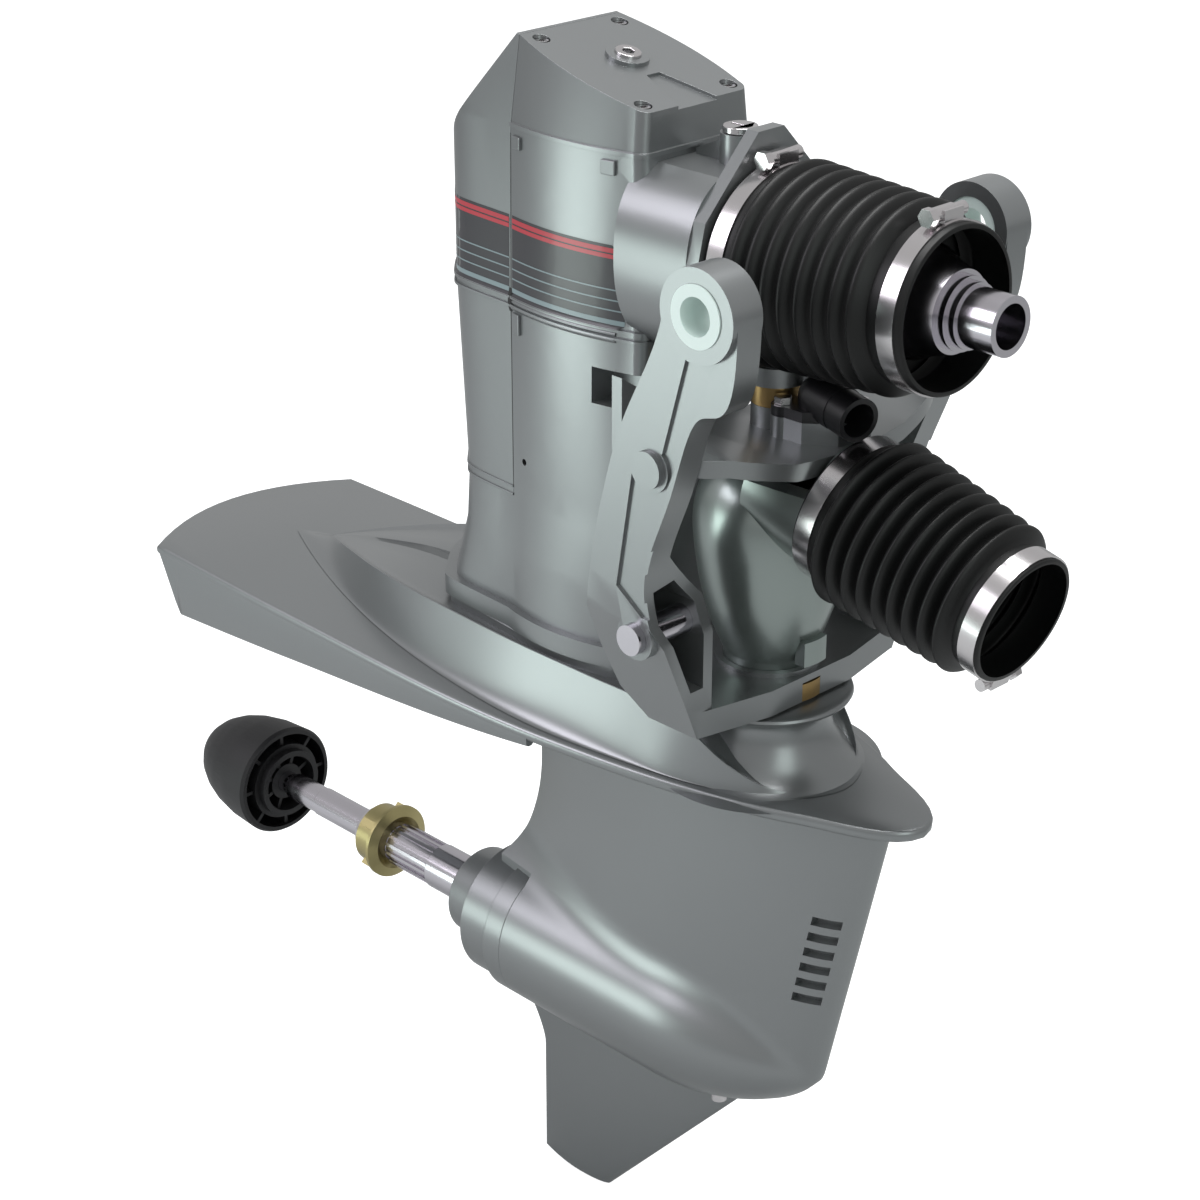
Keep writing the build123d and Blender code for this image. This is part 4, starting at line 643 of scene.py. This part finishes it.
def boot(name, node, place, **sizes):
    """Bellows turned from its folded profile, which stands for its CAD node."""
    piece = turned(name, folded_profile(**sizes), steps=120, place=place, angle=50)
    finish_object(piece, node)
    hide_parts(node)


JOINT_PLACE = Matrix.Translation((-0.009, 0, 0))
GAS_PLACE = Matrix.Translation((0.064, 0, -0.153)) @ Matrix.Rotation(math.radians(13), 4, "Y")
boot("joint_boot", "joint_bellows", JOINT_PLACE, length=155, lip_len=18, lip_r=62.9, start_r=69,
     end_r=63, depth=7, folds=8, mouth_r=54.5, mouth_len=26, wall=2.6)
boot("exhaust_boot", "exhaust_bellows", GAS_PLACE, length=152, lip_len=18, lip_r=51, start_r=60,
     end_r=53, depth=9, folds=9, mouth_r=44, mouth_len=20, wall=2.6)


# CAD castings and fittings whose edges are rounded in the copy that stands for them
CASTINGS = ("upper_gear_housing", "top_cover", "rear_cowl", "suspension_fork", "bearing_carrier")
FITTINGS = ("exhaust_elbow", "hose_elbow", "brass_collar", "propeller_cone", "case_top_plug",
            "oil_plug")
CASTING_EDGE, FITTING_EDGE = 1.4, 0.7
for casting in CASTINGS:
    rounded(casting, CASTING_EDGE)
for fitting in FITTINGS:
    rounded(fitting, FITTING_EDGE)


# Stripe band round the casing
BAND_TOP, BAND_FOOT = 0.0, -57.6
BAND_FRONT_X, BAND_SLANT, BAND_CORNER = -91.0, 5.0, 6.0
SEAM_FRONT_X, SEAM_REAR_X = -192.4, -195.9
RED_ROWS = [(2.1, 5.4), (6.4, 9.3)]
PALE_ROWS = [(30.0, 31.0), (37.2, 38.2), (44.2, 45.2), (51.2, 54.6)]
BAND_LIFT, STRIPE_LIFT, FILM_ROW = 0.15, 0.3, 2.5

# Plan rays that find the casing: from both sides, and in a fan of TAIL_STEP degrees round the tail
RAY_START, SIDE_SPANS = 150.0, 36
TAIL_CENTRE_X, TAIL_REACH, TAIL_RAYS, TAIL_FIRST, TAIL_STEP = -197.0, 200.0, 45, -91, 4.0


def vinyl_film(name, colour):
    """Cut vinyl film of the stripes: even colour, satin, smoother than the paint under it."""
    return new_material(name, colour, roughness=0.32, Coat_Weight=0.3, Coat_Roughness=0.15)[0]


def band_front(depth):
    """Front end of the band at a depth under its top: slanted, with rounded corners."""
    size = BAND_TOP - BAND_FOOT
    inside = BAND_CORNER - min(depth, size - depth, BAND_CORNER)
    corner = BAND_CORNER - math.sqrt(max(0.0, BAND_CORNER ** 2 - inside ** 2))
    return BAND_FRONT_X + BAND_SLANT * depth / size - corner


def band_rays(depth):
    """Rays (part, start, way) in plan round the casing, from starboard by the tail to port."""
    front = band_front(depth)
    xs = [front + (SEAM_FRONT_X - front) * i / SIDE_SPANS for i in range(SIDE_SPANS + 1)]
    side = [("starboard", (x, -RAY_START), (0.0, 1.0)) for x in xs]
    edge = [("tail", (SEAM_REAR_X, -RAY_START), (0.0, 1.0))]
    tail = []
    for i in range(TAIL_RAYS):
        turn = math.radians(TAIL_FIRST - TAIL_STEP * i)
        way = (-math.cos(turn), -math.sin(turn))
        tail.append(("tail", (TAIL_CENTRE_X - TAIL_REACH * way[0], -TAIL_REACH * way[1]), way))
    back = [("tail", (SEAM_REAR_X, RAY_START), (0.0, -1.0))]
    port = [("port", (x, -y), (dx, -dy)) for _, (x, y), (dx, dy) in side]
    return side + edge + tail + back + port


def casing_tree():
    """Search tree over the CAD faces of housing and cowl, in metres."""
    corners, faces = [], []
    for node in ("upper_gear_housing", "rear_cowl"):
        thing = frame["nodes"][node]
        first = len(corners)
        corners += [thing.matrix_world @ v.co for v in thing.data.vertices]
        faces += [[first + i for i in face.vertices] for face in thing.data.polygons]
    return BVHTree.FromPolygons(corners, faces)


CASING = casing_tree()


def on_casing(start, way, z):
    """Point and outward normal where a plan ray meets the casing at height z."""
    way = Vector((way[0], way[1], 0))
    place, normal, _, _ = CASING.ray_cast(Vector((start[0], start[1], z)) * MM, way)
    if place is None:
        return None, None
    return place, normal if normal.dot(way) < 0 else -normal


def stripe(part, name, material, low, high, lift_mm):
    """Film between two depths under the band's top, on one part of the casing."""
    rows = max(3, int((high - low) / FILM_ROW) + 2)
    lines = []
    for i in range(rows):
        depth = low + (high - low) * i / (rows - 1)
        line = []
        for on_part, start, way in band_rays(depth):
            if on_part == part:
                place, normal = on_casing(start, way, BAND_TOP - depth)
                line.append((place + normal * lift_mm * MM) / MM)
        lines.append(line)
    node = "rear_cowl" if part == "tail" else "upper_gear_housing"
    piece = add_mesh(name + "_" + part, *skin(lines, closed=False, caps=(False, False)))
    piece.data.materials.append(material)
    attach(piece, NODE_BODY[node])


def stripe_band():
    """Charcoal band with two red and four grey-green stripes, cut at the casing's seam."""
    charcoal = vinyl_film("charcoal_vinyl", "#2f2f33")
    red = vinyl_film("red_vinyl", "#b0303c")
    pale = vinyl_film("grey_green_vinyl", "#7d8f92")
    for part in ("starboard", "tail", "port"):
        stripe(part, "band", charcoal, 0.0, BAND_TOP - BAND_FOOT, BAND_LIFT)
        for i, row in enumerate(RED_ROWS):
            stripe(part, f"red_stripe_{i}", red, *row, STRIPE_LIFT)
        for i, row in enumerate(PALE_ROWS):
            stripe(part, f"pale_stripe_{i}", pale, *row, STRIPE_LIFT)


stripe_band()


# Painted shade in the seam, beads and small castings on the casing's sides
SEAM_FOOT_Z, SEAM_STEP, SEAM_ROWS, SEAM_SUNK = -200.0, 5.7, 54, 0.1
BEAD_HEIGHTS, BEAD_STEP, BEAD_SPANS = (-61.0, -65.5), 3.0, 34
BEAD_HALF, BEAD_LIFT, BEAD_SUNK = 1.9, 1.4, 0.2
TABS = ((-190.5, -182, -83, -68), (-190.5, -181, 47, 56), (-105, -94, 47, 57))
TAB_LIFT, TAB_EDGE = 2.2, 0.8


def beside(side, x, z):
    """Point and outward normal on one side of the casing; side -1 is starboard."""
    return on_casing((x, side * RAY_START), (0.0, -side), z)


def painted_seam_shade(side):
    """Dark strip just under the surface in the seam between casing and cowl, which paints the shade of
    the seam groove.
    """
    line = []
    for i in range(SEAM_ROWS):
        pair = []
        for x in (SEAM_FRONT_X, SEAM_REAR_X):
            place, normal = beside(side, x, SEAM_FOOT_Z + SEAM_STEP * i)
            if place is not None:
                pair.append((place - normal * SEAM_SUNK * MM) / MM)
        if len(pair) == 2:
            line.append(pair)
    piece = add_mesh("painted_seam_shade_strip", *skin(line, closed=False, caps=(False, False)))
    # The seal's black nitrile finish is used here as painted shade in the seam groove.
    finish_object(piece, "input_seal")
    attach(piece, NODE_BODY["rear_cowl"])


def casing_bead(side, z):
    """Rounded rib along the casing's side from the seam to its front."""
    rings = []
    for i in range(BEAD_SPANS):
        line = []
        for k in (1.0, 0.6, 0.0, -0.6, -1.0):
            place, normal = beside(side, SEAM_FRONT_X + BEAD_STEP * i, z + k * BEAD_HALF)
            line.append((place + normal * (BEAD_LIFT * (1 - k * k) - BEAD_SUNK) * MM) / MM)
        rings.append(line)
    piece = add_mesh("casing_bead", *skin(rings, closed=False, caps=(False, False)))
    finish_object(piece, "upper_gear_housing")


def casing_tab(side, x0, x1, z0, z1):
    """Small raised pad cast on the casing's side."""
    low, high = [], []
    for x, z in ((x0, z0), (x1, z0), (x1, z1), (x0, z1)):
        place, normal = beside(side, x, z)
        low.append((place - normal * MM) / MM)
        high.append((place + normal * TAB_LIFT * MM) / MM)
    piece = add_mesh("casing_tab", *skin([low, high]), smooth=False)
    crease(piece, 30)
    bevel = piece.modifiers.new("edges", "BEVEL")
    bevel.width = TAB_EDGE * MM
    bevel.segments = 2
    bevel.harden_normals = True
    finish_object(piece, "upper_gear_housing")


for side in (-1, 1):
    painted_seam_shade(side)
    for bead_z in BEAD_HEIGHTS:
        casing_bead(side, bead_z)
    for tab in TABS:
        casing_tab(side, *tab)


# Camera at the photograph's place, in metres and degrees, with its lens in millimetres
CAMERA_PLACE = Vector((1.12008, -1.25895, 0.53486))
CAMERA_AZIMUTH = math.radians(45.607)
CAMERA_ELEVATION = math.radians(24.818)
SENSOR_WIDTH, LENS = 36.0, 81.334
camera_data = bpy.data.cameras.new("camera")
camera_data.sensor_width = SENSOR_WIDTH
camera_data.lens = LENS
camera = bpy.data.objects.new("camera", camera_data)
camera.location = CAMERA_PLACE
camera.rotation_euler = (math.pi / 2 - CAMERA_ELEVATION, 0, CAMERA_AZIMUTH)
bpy.context.scene.collection.objects.link(camera)
bpy.context.scene.camera = camera


# Floor, world and lamps, in metres and watts
FLOOR_GAP, FLOOR_HALF, FLOOR_GLOW, WORLD_LIGHT = 0.002, 30.0, 0.85, 0.54
CENTRE = (-0.15, 0.0, -0.3)


def studio_floor():
    """Wide flat pale floor just under the skeg, which only the camera sees as near white."""
    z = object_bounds()[0][2] - FLOOR_GAP
    corners = [(x * FLOOR_HALF, y * FLOOR_HALF, z) for x, y in ((-1, -1), (1, -1), (1, 1), (-1, 1))]
    piece = add_mesh("floor", corners, [(0, 1, 2, 3)], smooth=False)
    material, shader = new_material("floor_white", "#bec0c0", roughness=0.9, Specular_IOR_Level=0.1)
    rays = add_node(material, "ShaderNodeLightPath")
    shader.inputs["Emission Color"].default_value = (1, 1, 1, 1)
    lift = add_node(material, "ShaderNodeMath", {"operation": "MULTIPLY", 1: FLOOR_GLOW},
                    [(rays.outputs["Is Camera Ray"], 0)])
    material.node_tree.links.new(lift.outputs[0], shader.inputs["Emission Strength"])
    piece.data.materials.append(material)


def studio_world():
    """White world: full strength for the camera and through glass, weaker as light."""
    world = bpy.data.worlds.new("studio")
    world.use_nodes = True
    bpy.context.scene.world = world
    back = world.node_tree.nodes["Background"]
    back.inputs["Color"].default_value = (1, 1, 1, 1)
    rays = add_node(world, "ShaderNodeLightPath")
    seen = add_node(world, "ShaderNodeMath", {"operation": "MAXIMUM"},
                    [(rays.outputs["Is Camera Ray"], 0), (rays.outputs["Is Transmission Ray"], 1)])
    level = add_node(world, "ShaderNodeMapRange", {"To Min": WORLD_LIGHT, "To Max": 1.0},
                     [(seen.outputs[0], "Value")])
    world.node_tree.links.new(level.outputs["Result"], back.inputs["Strength"])


def soft_lamp(name, place, aim, size, power, colour):
    """Rectangular area lamp at place that looks at aim."""
    lamp = bpy.data.lights.new(name, "AREA")
    lamp.shape = "RECTANGLE"
    lamp.size, lamp.size_y = size
    lamp.energy = power
    lamp.color = linear(colour)[:3]
    holder = bpy.data.objects.new(name, lamp)
    holder.location = place
    holder.rotation_euler = (Vector(aim) - Vector(place)).to_track_quat("-Z", "Y").to_euler()
    bpy.context.scene.collection.objects.link(holder)


studio_floor()
studio_world()
soft_lamp("key_from_starboard_rear", (-1.6, -2.2, 1.5), CENTRE, (1.6, 1.6), 32, "#fbf5ff")
soft_lamp("fill_from_bow", (2.6, -0.8, 0.9), CENTRE, (1.2, 2.0), 13, "#f2fffa")
soft_lamp("top_sheet", (0.1, 0.2, 2.4), CENTRE, (2.2, 1.4), 70, "#ffffff")
soft_lamp("low_rim", (-1.2, -1.6, -0.6), CENTRE, (0.8, 0.8), 8, "#f0fff9")
bpy.context.scene.view_settings.view_transform = "Standard"
